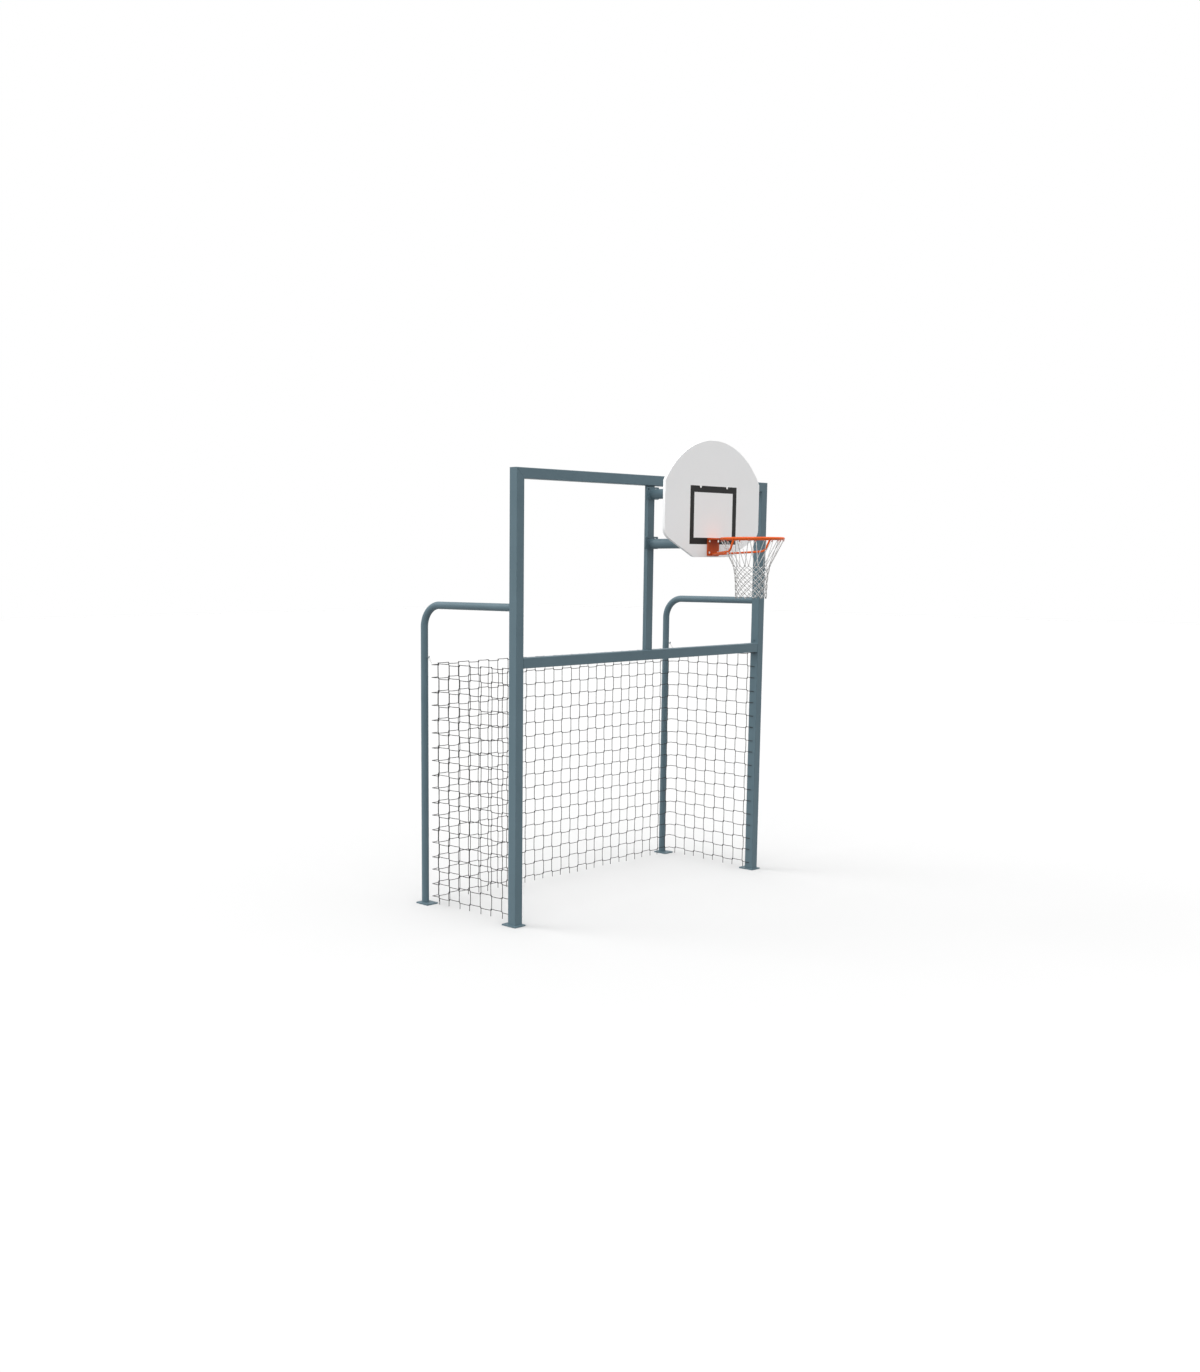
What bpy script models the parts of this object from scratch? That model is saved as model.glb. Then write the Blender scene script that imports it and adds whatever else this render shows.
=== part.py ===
"""Combination handball and basketball goal: a welded steel frame with a 3 x 2 m mouth,
a basket on two arms in front of its centre post, and string nets. Metres, +Z up.

X runs along the mouth and Y runs from the field into the goal. The measures below are taken
from the front faces of the posts (Y = 0) and the ground (Z = 0). One empty then moves the
whole goal along Y, so that the origin is the middle of its footprint."""

from math import asin, cos, hypot, pi, radians, sin, sqrt, tan

import bmesh
import bpy
from mathutils import Matrix, Vector

# Driving dimensions

# Front frame of square tube
mouth_width = 3.0
mouth_height = 2.0
frame_height = 3.5
beam_section = 0.08
beam_wall = 0.003
beam_corner_radius = 0.005
vent_hole_diameter = 0.014
vent_hole_rise = 0.02

# Centre post of flat tube, set back behind the front faces
centre_post_width = 0.08
centre_post_depth = 0.04
centre_post_wall = 0.003
centre_post_corner_radius = 0.004
centre_post_setback = 0.02

# Rear hoops of round tube, as high over the crossbar as hoop_rise
hoop_diameter = 0.06
hoop_wall = 0.003
hoop_rise = 0.38
hoop_reach = 1.088
hoop_bend_radius = 0.18

# Base plates under the four feet
base_thickness = 0.01
base_corner_radius = 0.006
front_base_side_lip = 0.02
front_base_lip = 0.02
front_base_tail = 0.05
rear_base_side_lip = 0.03
rear_base_lip = 0.06
rear_base_tail = 0.02
anchor_hole_diameter = 0.014
anchor_hole_spacing = 0.07
anchor_hole_margin = 0.022

# Arms that carry the board, set from the top beam down
arm_diameter = 0.08
arm_wall = 0.003
arm_pitch = 0.4
flange_thickness = 0.01
flange_under_beam = 0.012
flange_above_axis = 0.058
flange_below_axis = 0.042
flange_slot_length = 0.024
flange_slot_height = 0.012
flange_slot_from_post = 0.008
flange_slot_side_margin = 0.032
flange_slot_top_margin = 0.018
plate_corner_radius = 0.008

# Plates on the arms' heads, behind the board
head_plate_thickness = 0.008
head_plate_lip = 0.006
head_plate_bolt_margin = 0.02
upper_head_side_margin = 0.032
upper_head_top_margin = 0.04
lower_head_foot_margin = 0.03

# Half-moon board
board_face_reach = 0.609
board_width = 1.2
board_height = 0.9
board_below_arm = 0.11
board_thickness = 0.022
board_side_top = 0.578
board_shoulder_height = 0.168
board_foot_width = 0.47
board_shoulder_radius = 0.09
board_foot_radius = 0.1
board_bolt_spacing = 0.336
board_bolt_above_arm = 0.034

# Rim and what holds it
rim_inner_diameter = 0.45
rim_bar_diameter = 0.02
rim_to_board = 0.151
rim_rise = 0.15
rim_plate_thickness = 0.006
rim_plate_side_margin = 0.02
rim_plate_foot_margin = 0.025
rim_bolt_spacing = 0.11
rim_bolt_pitch = 0.09
rim_bolt_clearance = 0.0022
strut_diameter = 0.016
strut_foot_spacing = 0.026
strut_foot_rise = 0.012
strut_bend_inset = 0.009
strut_bend_back = 0.042
strut_bend_drop = 0.096
strut_bend_radius = 0.05

# Bolts and nuts
bolt_diameter = 0.01
bolt_head_width = 0.017
bolt_head_height = 0.0064
bolt_end = 0.006
dome_head_diameter = 0.022
dome_head_height = 0.005
nut_height = 0.008

# Basket net and its hooks
net_hook_count = 12
net_hook_wire = 0.004
net_hook_opening = 0.006
net_hook_drop = 0.0125
net_hook_past_strut = 0.02
basket_cord = 0.005
basket_loop_top = 0.014
basket_loop_length = 0.193
basket_neck_radius = 0.14
basket_tube_length = 0.243
basket_end_radius = 0.118
basket_mesh_rows = 8

# Goal net: two sides and a back, hung inside the hoops
net_below_crossbar = 0.012
net_bottom = 0.071
net_fringe = 0.035
net_cord = 0.006
net_before_hoop = 0.058
net_front_reach = 0.03
net_rows = 11
back_columns = 18
side_columns = 6
net_jog = 0.008
corner_hook_wire = 0.008
corner_hook_length = 0.03
corner_hook_tip = 0.012
corner_hook_rise = 0.05
tie_cord = 0.003
tie_foot_radius = 0.004

# Gap between pieces that touch or are welded on the real goal
gap = 0.0003

# Places that follow from the dimensions
post_centre = mouth_width / 2 + beam_section / 2
crossbar_top = mouth_height + beam_section
beam_underside = frame_height - beam_section
hoop_height = crossbar_top + hoop_rise
hoop_front = hoop_reach - hoop_diameter / 2
hoop_back = hoop_reach + hoop_diameter / 2

upper_arm_height = beam_underside - flange_under_beam - flange_above_axis
lower_arm_height = upper_arm_height - arm_pitch
flange_slot_spacing = centre_post_width + 2 * flange_slot_from_post
flange_width = flange_slot_spacing + 2 * flange_slot_side_margin
flange_front = centre_post_setback - gap - flange_thickness
board_bottom = lower_arm_height - board_below_arm
board_face = -board_face_reach
board_back = board_face + board_thickness
head_plate_front = board_back + gap
head_plate_back = head_plate_front + head_plate_thickness

rim_top = board_bottom + rim_rise
rim_height = rim_top - rim_bar_diameter / 2
rim_radius = rim_inner_diameter / 2 + rim_bar_diameter / 2
rim_outer_radius = rim_inner_diameter / 2 + rim_bar_diameter
rim_centre_y = board_face - rim_to_board - rim_inner_diameter / 2
rim_plate_back = board_face - gap
rim_plate_front = rim_plate_back - rim_plate_thickness
rim_plate_width = rim_bolt_spacing + 2 * rim_plate_side_margin
bolt_head_radius = bolt_head_width / sqrt(3)
bolt_hole_diameter = bolt_diameter + 2 * gap
high_rim_bolt = rim_height - rim_plate_thickness / 2 - rim_bolt_clearance - bolt_head_radius
low_rim_bolt = high_rim_bolt - rim_bolt_pitch
rim_plate_foot = low_rim_bolt - rim_plate_foot_margin
board_bolt_height = upper_arm_height + board_bolt_above_arm
rim_bolt_places = {"lower_left": (-rim_bolt_spacing / 2, low_rim_bolt),
                   "lower_right": (rim_bolt_spacing / 2, low_rim_bolt),
                   "upper_left": (-rim_bolt_spacing / 2, high_rim_bolt),
                   "upper_right": (rim_bolt_spacing / 2, high_rim_bolt)}
board_bolt_places = {"left": (-board_bolt_spacing / 2, board_bolt_height),
                     "right": (board_bolt_spacing / 2, board_bolt_height)}
net_top = mouth_height - net_below_crossbar
net_back_reach = hoop_front - net_before_hoop

rear_edge = hoop_back + rear_base_tail
front_edge = rim_centre_y - rim_outer_radius
origin_shift = -(front_edge + rear_edge) / 2

# Turns that stand a flat outline up or lay a tube along an axis
facing_field = Matrix.Rotation(radians(90), 4, "X")
along_x = Matrix.Rotation(radians(90), 4, "Y")


def clear_scene():
    for item in list(bpy.data.objects):
        bpy.data.objects.remove(item, do_unlink=True)


def new_collection(name):
    collection = bpy.data.collections.new(name)
    bpy.context.scene.collection.children.link(collection)
    return collection


def make_material(name, colour, roughness, metallic):
    material = bpy.data.materials.new(name)
    material.use_nodes = True
    shader = material.node_tree.nodes["Principled BSDF"]
    shader.inputs["Base Color"].default_value = (*colour, 1.0)
    shader.inputs["Roughness"].default_value = roughness
    shader.inputs["Metallic"].default_value = metallic
    material.diffuse_color = (*colour, 1.0)
    return material


def frame_paint(name):
    return make_material(name + "_paint", (0.115, 0.172, 0.2), 0.42, 0.0)


def rim_paint(name):
    return make_material(name + "_paint", (0.75, 0.11, 0.02), 0.38, 0.0)


def board_coat(name):
    return make_material(name + "_coat", (0.68, 0.68, 0.67), 0.35, 0.0)


def zinc(name):
    return make_material(name + "_zinc", (0.62, 0.62, 0.60), 0.35, 1.0)


def white_cord(name):
    return make_material(name + "_cord", (0.75, 0.75, 0.74), 0.85, 0.0)


def grey_cord(name):
    return make_material(name + "_cord", (0.16, 0.16, 0.165), 0.85, 0.0)


def place(item, collection, origin, finish, where=(0, 0, 0), turn=Matrix.Identity(4)):
    """Puts a finished piece in the goal: finish is the function that makes its material.

    Copies that share a mesh share its material too."""
    collection.objects.link(item)
    item.parent = origin
    item.matrix_basis = Matrix.Translation(where) @ turn
    if not item.data.materials:
        item.data.materials.append(finish(item.data.name))


# Outlines, as lists of points in a plane, anticlockwise

def arc(centre, radius, start, end, steps):
    """Points on an arc about centre, from the angle start to the angle end, both included."""
    angles = [start + (end - start) * step / steps for step in range(steps + 1)]
    return [(centre[0] + radius * cos(a), centre[1] + radius * sin(a)) for a in angles]


def circle(centre, radius, sides):
    return arc(centre, radius, 0.0, 2 * pi, sides)[:-1]


def level_slot(centre, length, height, steps):
    """A hole with two round ends, longer than it is high."""
    reach = (length - height) / 2
    right = arc((centre[0] + reach, centre[1]), height / 2, -pi / 2, pi / 2, steps)
    left = arc((centre[0] - reach, centre[1]), height / 2, pi / 2, 3 * pi / 2, steps)
    return right + left


def rounded_rectangle(left, right, low, high, radius, steps=3):
    corners = [(right - radius, high - radius, 0), (left + radius, high - radius, 1),
               (left + radius, low + radius, 2), (right - radius, low + radius, 3)]
    points = []
    for x, y, quarter in corners:
        points += arc((x, y), radius, quarter * pi / 2, (quarter + 1) * pi / 2, steps)
    return points


def round_corner(before, corner, after, radius, steps):
    """Points of the arc that rounds the corner between two straight runs, in 2D or 3D."""
    corner = Vector(corner)
    to_before = (Vector(before) - corner).normalized()
    to_after = (Vector(after) - corner).normalized()
    half = to_before.angle(to_after) / 2
    middle = corner + (to_before + to_after).normalized() * radius / sin(half)
    start = corner + to_before * radius / tan(half) - middle
    end = corner + to_after * radius / tan(half) - middle
    sweep = pi - 2 * half
    points = []
    for step in range(steps + 1):
        share = step / steps
        spoke = (start * sin((1 - share) * sweep) + end * sin(share * sweep)) / sin(sweep)
        points.append(middle + spoke)
    return points


# Makers of curve and mesh objects

def flat_piece(name, outer, holes, thickness):
    """A flat outline with holes, thickness thick, lying in XY with its middle at Z = 0."""
    curve = bpy.data.curves.new(name, "CURVE")
    curve.dimensions = "2D"
    curve.fill_mode = "BOTH"
    curve.extrude = thickness / 2
    for outline in [outer] + holes:
        spline = curve.splines.new("POLY")
        spline.points.add(len(outline) - 1)
        for point, (x, y) in zip(spline.points, outline):
            point.co = (x, y, 0.0, 1.0)
        spline.use_cyclic_u = True
    return bpy.data.objects.new(name, curve)


def rod(name, points, diameter, resolution, capped=True, closed=False):
    """A round bar along straight runs between 3D points, with 4 + 2 x resolution sides."""
    curve = bpy.data.curves.new(name, "CURVE")
    curve.dimensions = "3D"
    curve.bevel_depth = diameter / 2
    curve.bevel_resolution = resolution
    curve.use_fill_caps = capped
    spline = curve.splines.new("POLY")
    spline.points.add(len(points) - 1)
    for point, spot in zip(spline.points, points):
        point.co = (*spot, 1.0)
    spline.use_cyclic_u = closed
    return bpy.data.objects.new(name, curve)


def finished_mesh(item):
    """The item's mesh after its modifiers, with a curve's loose caps welded on.

    The item itself is removed."""
    name = item.name
    bpy.context.scene.collection.objects.link(item)
    graph = bpy.context.evaluated_depsgraph_get()
    mesh = bpy.data.meshes.new_from_object(item.evaluated_get(graph))
    bpy.data.objects.remove(item, do_unlink=True)
    shape = bmesh.new()
    shape.from_mesh(mesh)
    bmesh.ops.remove_doubles(shape, verts=shape.verts, dist=0.00001)
    bmesh.ops.recalc_face_normals(shape, faces=shape.faces)
    shape.to_mesh(mesh)
    shape.free()
    mesh.name = name
    return mesh


def to_mesh(item):
    """Replaces a curve, or an object with modifiers, by an object with its finished mesh."""
    mesh = finished_mesh(item)
    return bpy.data.objects.new(mesh.name, mesh)


def smooth(item, angle=35):
    item.data.shade_smooth()
    item.data.set_sharp_from_angle(angle=radians(angle))
    return item


def turned(name, profile, steps, hollow):
    """A turned shape: the profile of (radius, height) runs down its outer side.

    A hollow one has a bore and a closed profile; a solid one starts and ends on the axis."""
    mesh = bpy.data.meshes.new(name)
    count = len(profile)
    edges = [(index, index + 1) for index in range(count - 1)]
    if hollow:
        edges.append((count - 1, 0))
    mesh.from_pydata([(radius, 0.0, height) for radius, height in profile], edges, [])
    item = bpy.data.objects.new(name, mesh)
    screw = item.modifiers.new("turn", "SCREW")
    screw.axis = "Z"
    screw.steps = steps
    screw.render_steps = steps
    screw.use_merge_vertices = True
    screw.merge_threshold = 0.0001
    return item


def add_boolean(item, helper, operation, helpers):
    """Cuts the item with a hidden helper object, or joins the two."""
    helpers.objects.link(helper)
    helper.hide_render = True
    helper.display_type = "WIRE"
    modifier = item.modifiers.new(operation.lower(), "BOOLEAN")
    modifier.operation = operation
    modifier.solver = "EXACT"
    modifier.object = helper


def cylinder(name, radius, low, high, sides):
    """A solid cylinder along Z from low to high."""
    mesh = bpy.data.meshes.new(name)
    shape = bmesh.new()
    bmesh.ops.create_cone(shape, cap_ends=True, segments=sides, radius1=radius, radius2=radius,
                          depth=high - low, matrix=Matrix.Translation((0, 0, (low + high) / 2)))
    shape.to_mesh(mesh)
    shape.free()
    return bpy.data.objects.new(name, mesh)


# Steel tubes

def box_tube(name, width, depth, wall, radius, length):
    """Square or flat tube along Z, its middle at the origin, open at both ends."""
    outer = rounded_rectangle(-width / 2, width / 2, -depth / 2, depth / 2, radius)
    inner = rounded_rectangle(wall - width / 2, width / 2 - wall, wall - depth / 2, depth / 2 - wall,
                              max(radius - wall, wall / 4))
    return to_mesh(flat_piece(name, outer, [inner], length))


def mitre(item, end, slope):
    """Slants one end of a tube: each vertex there moves along Z by slope times its X."""
    for vertex in item.data.vertices:
        if vertex.co.z * end > 0:
            vertex.co.z += slope * vertex.co.x
    return item


def make_posts(collection, helpers, origin):
    mitre_gap = gap * sqrt(0.5)
    low = base_thickness + gap
    high = frame_height - beam_section / 2 - mitre_gap
    vent_height = crossbar_top + vent_hole_rise
    for side, label in ((-1, "left"), (1, "right")):
        post = box_tube(label + "_post", beam_section, beam_section, beam_wall, beam_corner_radius,
                        high - low)
        mitre(post, 1, side)
        middle = (low + high) / 2
        cutter = cylinder(label + "_vent_cutter", vent_hole_diameter / 2,
                          -2 * beam_wall, 2 * beam_wall, 12)
        add_boolean(post, cutter, "DIFFERENCE", helpers)
        cutter.parent = post
        hole = Matrix.Translation((-side * beam_section / 2, 0, vent_height - middle))
        cutter.matrix_basis = hole @ along_x
        place(post, collection, origin, frame_paint, (side * post_centre, beam_section / 2, middle))


def make_beams(collection, origin):
    length = mouth_width + beam_section - 2 * gap * sqrt(0.5)
    beam = box_tube("top_beam", beam_section, beam_section, beam_wall, beam_corner_radius, length)
    mitre(beam, 1, -1)
    mitre(beam, -1, 1)
    place(beam, collection, origin, frame_paint,
          (0, beam_section / 2, frame_height - beam_section / 2), along_x)
    crossbar = box_tube("crossbar", beam_section, beam_section, beam_wall, beam_corner_radius,
                        mouth_width - 2 * gap)
    place(crossbar, collection, origin, frame_paint,
          (0, beam_section / 2, mouth_height + beam_section / 2), along_x)
    low = crossbar_top + gap
    high = beam_underside - gap
    post = box_tube("centre_post", centre_post_width, centre_post_depth, centre_post_wall,
                    centre_post_corner_radius, high - low)
    place(post, collection, origin, frame_paint,
          (0, centre_post_setback + centre_post_depth / 2, (low + high) / 2))


def make_hoops(collection, origin):
    """Round tube up from the rear foot, bent forwards and level into the post's rear face."""
    foot = (0, hoop_reach, base_thickness + gap)
    corner = (0, hoop_reach, hoop_height)
    end = (0, beam_section + gap, hoop_height)
    route = [foot] + round_corner(foot, corner, end, hoop_bend_radius, 8) + [end]
    for side, label in ((-1, "left"), (1, "right")):
        skin = rod(label + "_rear_hoop", route, hoop_diameter, 6, capped=False)
        hoop = to_mesh(skin)
        wall = hoop.modifiers.new("wall", "SOLIDIFY")
        wall.thickness = hoop_wall
        wall.offset = -1
        smooth(hoop)
        place(hoop, collection, origin, frame_paint, (side * post_centre, 0, 0))


def make_base_plates(collection, origin):
    """Front plates have their anchor holes behind the post, rear ones before the hoop."""
    front_half = beam_section / 2 + front_base_side_lip
    front_tail = beam_section + front_base_tail
    rear_half = hoop_diameter / 2 + rear_base_side_lip
    rear_front = hoop_front - rear_base_lip
    plates = (("front", front_half, -front_base_lip, front_tail, front_tail - anchor_hole_margin),
              ("rear", rear_half, rear_front, rear_edge, rear_front + anchor_hole_margin))
    for side, label in ((-1, "left"), (1, "right")):
        for end, half_width, front, back, holes_y in plates:
            outline = rounded_rectangle(-half_width, half_width, front, back, base_corner_radius)
            holes = [circle((x, holes_y), anchor_hole_diameter / 2, 12)
                     for x in (-anchor_hole_spacing / 2, anchor_hole_spacing / 2)]
            plate = flat_piece(label + "_" + end + "_base_plate", outline, holes, base_thickness)
            place(plate, collection, origin, frame_paint, (side * post_centre, 0, base_thickness / 2))


# Arms and board

def head_plate(name, places, side_margin, low, high, collection, origin):
    """A plate between an arm and the board, with holes for the bolts at places."""
    reach = max(x for x, z in places.values()) + side_margin
    holes = [circle(spot, bolt_hole_diameter / 2, 12) for spot in places.values()]
    outline = rounded_rectangle(-reach, reach, low, high, plate_corner_radius)
    plate = flat_piece(name, outline, holes, head_plate_thickness)
    place(plate, collection, origin, frame_paint,
          (0, (head_plate_front + head_plate_back) / 2, 0), facing_field)


def make_arms(collection, origin):
    """Each arm: a flange on the centre post, a round tube and a plate behind the board."""
    radius = arm_diameter / 2
    tube_back = flange_front - gap
    tube_front = head_plate_back + gap
    end = (tube_back - tube_front) / 2
    profile = [(radius, end), (radius, -end), (radius - arm_wall, -end), (radius - arm_wall, end)]
    for label, height in (("upper", upper_arm_height), ("lower", lower_arm_height)):
        outline = rounded_rectangle(-flange_width / 2, flange_width / 2, -flange_below_axis,
                                    flange_above_axis, plate_corner_radius)
        slot_height = flange_above_axis - flange_slot_top_margin
        slots = [level_slot((x, slot_height), flange_slot_length, flange_slot_height, 5)
                 for x in (-flange_slot_spacing / 2, flange_slot_spacing / 2)]
        flange = flat_piece(label + "_arm_flange", outline, slots, flange_thickness)
        place(flange, collection, origin, frame_paint,
              (0, flange_front + flange_thickness / 2, height), facing_field)
        tube = turned(label + "_arm", profile, 24, hollow=True)
        place(tube, collection, origin, frame_paint,
              (0, (tube_back + tube_front) / 2, height), facing_field)
    head_plate("upper_arm_head_plate", board_bolt_places, upper_head_side_margin,
               upper_arm_height - radius - head_plate_lip, board_bolt_height + upper_head_top_margin,
               collection, origin)
    head_plate("lower_arm_head_plate", rim_bolt_places, head_plate_bolt_margin,
               low_rim_bolt - lower_head_foot_margin, lower_arm_height + radius + head_plate_lip,
               collection, origin)


def board_outline():
    """Half-moon: level foot, sloping lower corners, upright sides and one round arch."""
    half = board_width / 2
    foot = board_foot_width / 2
    rise = board_height - board_side_top
    radius = (half ** 2 + rise ** 2) / (2 * rise)
    spread = asin(half / radius)
    left_foot, right_foot = (-foot, 0), (foot, 0)
    left_shoulder, right_shoulder = (-half, board_shoulder_height), (half, board_shoulder_height)
    left_top, right_top = (-half, board_side_top), (half, board_side_top)
    points = round_corner(left_shoulder, left_foot, right_foot, board_foot_radius, 3)
    points += round_corner(left_foot, right_foot, right_shoulder, board_foot_radius, 3)
    points += round_corner(right_foot, right_shoulder, right_top, board_shoulder_radius, 5)
    points += arc((0, board_height - radius), radius, pi / 2 - spread, pi / 2 + spread, 28)
    points += round_corner(left_top, left_shoulder, left_foot, board_shoulder_radius, 5)
    return [(point[0], point[1]) for point in points]


def make_board(collection, origin):
    places = list(board_bolt_places.values()) + list(rim_bolt_places.values())
    holes = [circle((x, z - board_bottom), bolt_hole_diameter / 2, 12) for x, z in places]
    board = flat_piece("backboard", board_outline(), holes, board_thickness)
    place(board, collection, origin, board_coat,
          (0, (board_face + board_back) / 2, board_bottom), facing_field)


# Rim

def make_rim_ring(collection, origin):
    bpy.ops.mesh.primitive_torus_add(major_segments=48, minor_segments=12, major_radius=rim_radius,
                                     minor_radius=rim_bar_diameter / 2)
    ring = bpy.context.object
    ring.name = "rim_ring"
    ring.data.name = "rim_ring"
    for owner in list(ring.users_collection):
        owner.objects.unlink(ring)
    smooth(ring)
    place(ring, collection, origin, rim_paint, (0, rim_centre_y, rim_height))


def make_rim_plates(collection, origin):
    """The plate bolted to the board, and the level plate from it to the back of the ring."""
    half = rim_plate_width / 2
    outline = rounded_rectangle(-half, half, rim_plate_foot, rim_top, plate_corner_radius)
    holes = [circle(spot, bolt_hole_diameter / 2, 12) for spot in rim_bolt_places.values()]
    plate = flat_piece("rim_back_plate", outline, holes, rim_plate_thickness)
    place(plate, collection, origin, rim_paint,
          (0, (rim_plate_back + rim_plate_front) / 2, 0), facing_field)
    reach = rim_outer_radius + gap
    spread = asin(half / reach)
    front = arc((0, rim_centre_y), reach, pi / 2 - spread, pi / 2 + spread, 8)
    back = rim_plate_front - gap
    shelf = flat_piece("rim_top_plate", front + [(-half, back), (half, back)], [], rim_plate_thickness)
    place(shelf, collection, origin, rim_paint, (0, 0, rim_height))


def make_struts(collection, origin):
    """Round bars from the foot of the back plate, out under the ring and up to it.

    A bar's flat end meets its seat at a slant, so its middle stops as far off as the rim of
    that end needs."""
    radius = strut_diameter / 2
    for side, label in ((-1, "left"), (1, "right")):
        foot = Vector((side * strut_foot_spacing / 2, rim_plate_front, rim_plate_foot + strut_foot_rise))
        bend = Vector((side * (rim_radius - strut_bend_inset), rim_centre_y + strut_bend_back,
                       rim_height - strut_bend_drop))
        top = Vector((side * rim_radius, rim_centre_y, rim_height))
        out = (bend - foot).normalized()
        foot += out * (gap + radius * hypot(out.x, out.z)) / abs(out.y)
        up = (top - bend).normalized()
        top -= up * (rim_bar_diameter / 2 + gap + radius * abs(up.y)) / hypot(up.x, up.z)
        route = [foot] + round_corner(foot, bend, top, strut_bend_radius, 5) + [top]
        strut = rod(label + "_rim_strut", route, strut_diameter, 3)
        place(strut, collection, origin, rim_paint)


def net_hook_turns():
    """Angles of the hooks round the ring: even steps, but clear of the struts at its sides."""
    turns = []
    for index in range(net_hook_count):
        turn = 2 * pi * index / net_hook_count
        if abs(sin(turn)) < net_hook_past_strut / rim_radius:
            turn -= net_hook_past_strut / rim_radius * cos(turn)
        turns.append(turn)
    return turns


def make_net_hooks(collection, origin):
    """Wire staples welded under the ring, across its bar, one for each loop of the net."""
    half = (net_hook_opening + net_hook_wire) / 2
    low = net_hook_wire / 2 - net_hook_drop
    bar_radius = rim_bar_diameter / 2
    end = bar_radius - sqrt(bar_radius ** 2 - (net_hook_opening / 2) ** 2) - gap
    bend = half / 2
    route = [(-half, 0, end), (-half, 0, low + bend), (-half + bend, 0, low),
             (half - bend, 0, low), (half, 0, low + bend), (half, 0, end)]
    mesh = finished_mesh(rod("rim_net_hook", route, net_hook_wire, 1))
    for index, angle in enumerate(net_hook_turns()):
        where = (rim_radius * cos(angle), rim_centre_y + rim_radius * sin(angle), rim_height - bar_radius)
        hook = bpy.data.objects.new(f"rim_net_hook_{index + 1:02d}", mesh)
        place(hook, collection, origin, rim_paint, where, Matrix.Rotation(angle, 4, "Z"))


def make_basket_net(collection, origin):
    """Long loops from the hooks to the neck, then a tube of diamond meshes.

    Each loop lies on its hook with a short level top. The knots of each row are half a mesh
    further round than those above, so a face joins a loop's top or a knot, its two
    neighbours in the next row and the knot below. The edges of the faces become cords."""
    shape = bmesh.new()
    hook_seat = rim_height - rim_bar_diameter / 2 - net_hook_drop + net_hook_wire
    top = hook_seat + gap + basket_cord / 2
    neck = top - basket_loop_length
    pitch = 2 * pi / net_hook_count
    half_top = basket_loop_top / 2 / rim_radius

    def ring(radius, height, turns):
        spots = [(radius * cos(turn), radius * sin(turn), height) for turn in turns]
        return [shape.verts.new(spot) for spot in spots]

    starts = ring(rim_radius, top, [turn - half_top for turn in net_hook_turns()])
    ends = ring(rim_radius, top, [turn + half_top for turn in net_hook_turns()])
    rows = [list(zip(starts, ends))]
    for row in range(basket_mesh_rows + 1):
        share = row / basket_mesh_rows
        radius = basket_neck_radius + (basket_end_radius - basket_neck_radius) * share
        turns = [pitch * (index + (row + 1) / 2) for index in range(net_hook_count)]
        rows.append([(knot,) for knot in ring(radius, neck - basket_tube_length * share, turns)])
    for upper, middle, lower in zip(rows, rows[1:], rows[2:]):
        for index in range(net_hook_count):
            shape.faces.new((*upper[index], *middle[index], *lower[index - 1], *middle[index - 1]))
    bmesh.ops.recalc_face_normals(shape, faces=shape.faces)
    mesh = bpy.data.meshes.new("basket_net")
    shape.to_mesh(mesh)
    shape.free()
    net = bpy.data.objects.new("basket_net", mesh)
    cords = net.modifiers.new("cords", "WIREFRAME")
    cords.thickness = basket_cord
    cords.use_replace = True
    cords.use_boundary = True
    cords.use_even_offset = False
    place(net, collection, origin, white_cord, (0, rim_centre_y, 0))


# Fasteners

def hex_bolt(name, length, helpers):
    """Hexagon bolt: the head stands on Z = 0 and the shank goes down."""
    shank = cylinder(name, bolt_diameter / 2, -length, bolt_head_height / 2, 12)
    head = cylinder(name + "_head", bolt_head_radius, 0, bolt_head_height, 6)
    add_boolean(shank, head, "UNION", helpers)
    mesh = finished_mesh(shank)
    bpy.data.objects.remove(head, do_unlink=True)
    return mesh


def dome_bolt(name, length):
    """Round-headed bolt, turned about its own axis."""
    dome = [(dome_head_diameter / 2 * cos(a), dome_head_height * sin(a)) for a in (1.3, 0.8, 0.35, 0)]
    shank = [(bolt_diameter / 2, 0), (bolt_diameter / 2, -length), (0, -length)]
    return finished_mesh(turned(name, [(0, dome_head_height)] + dome + shank, 12, hollow=False))


def make_fasteners(collection, helpers, origin):
    """Bolts from the field side through the board to the head plates, with nuts behind."""
    nut_middle = head_plate_back + gap + nut_height / 2
    end = nut_middle + nut_height / 2 + bolt_end
    rim_face = rim_plate_front - gap
    board_head_face = board_face - gap
    rim_bolt = hex_bolt("rim_bolt", end - rim_face, helpers)
    board_bolt = dome_bolt("board_bolt", end - board_head_face)
    nut_bore = circle((0, 0), bolt_hole_diameter / 2, 12)
    nut = finished_mesh(flat_piece("nut", circle((0, 0), bolt_head_radius, 6), [nut_bore], nut_height))
    groups = (("rim_bolt", rim_bolt, rim_face, rim_bolt_places),
              ("rim_nut", nut, nut_middle, rim_bolt_places),
              ("board_bolt", board_bolt, board_head_face, board_bolt_places),
              ("board_nut", nut, nut_middle, board_bolt_places))
    for name, mesh, y, places in groups:
        for label, (x, z) in places.items():
            item = bpy.data.objects.new(label + "_" + name, mesh)
            place(item, collection, origin, zinc, (x, y, z), facing_field)


# Goal net

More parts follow.
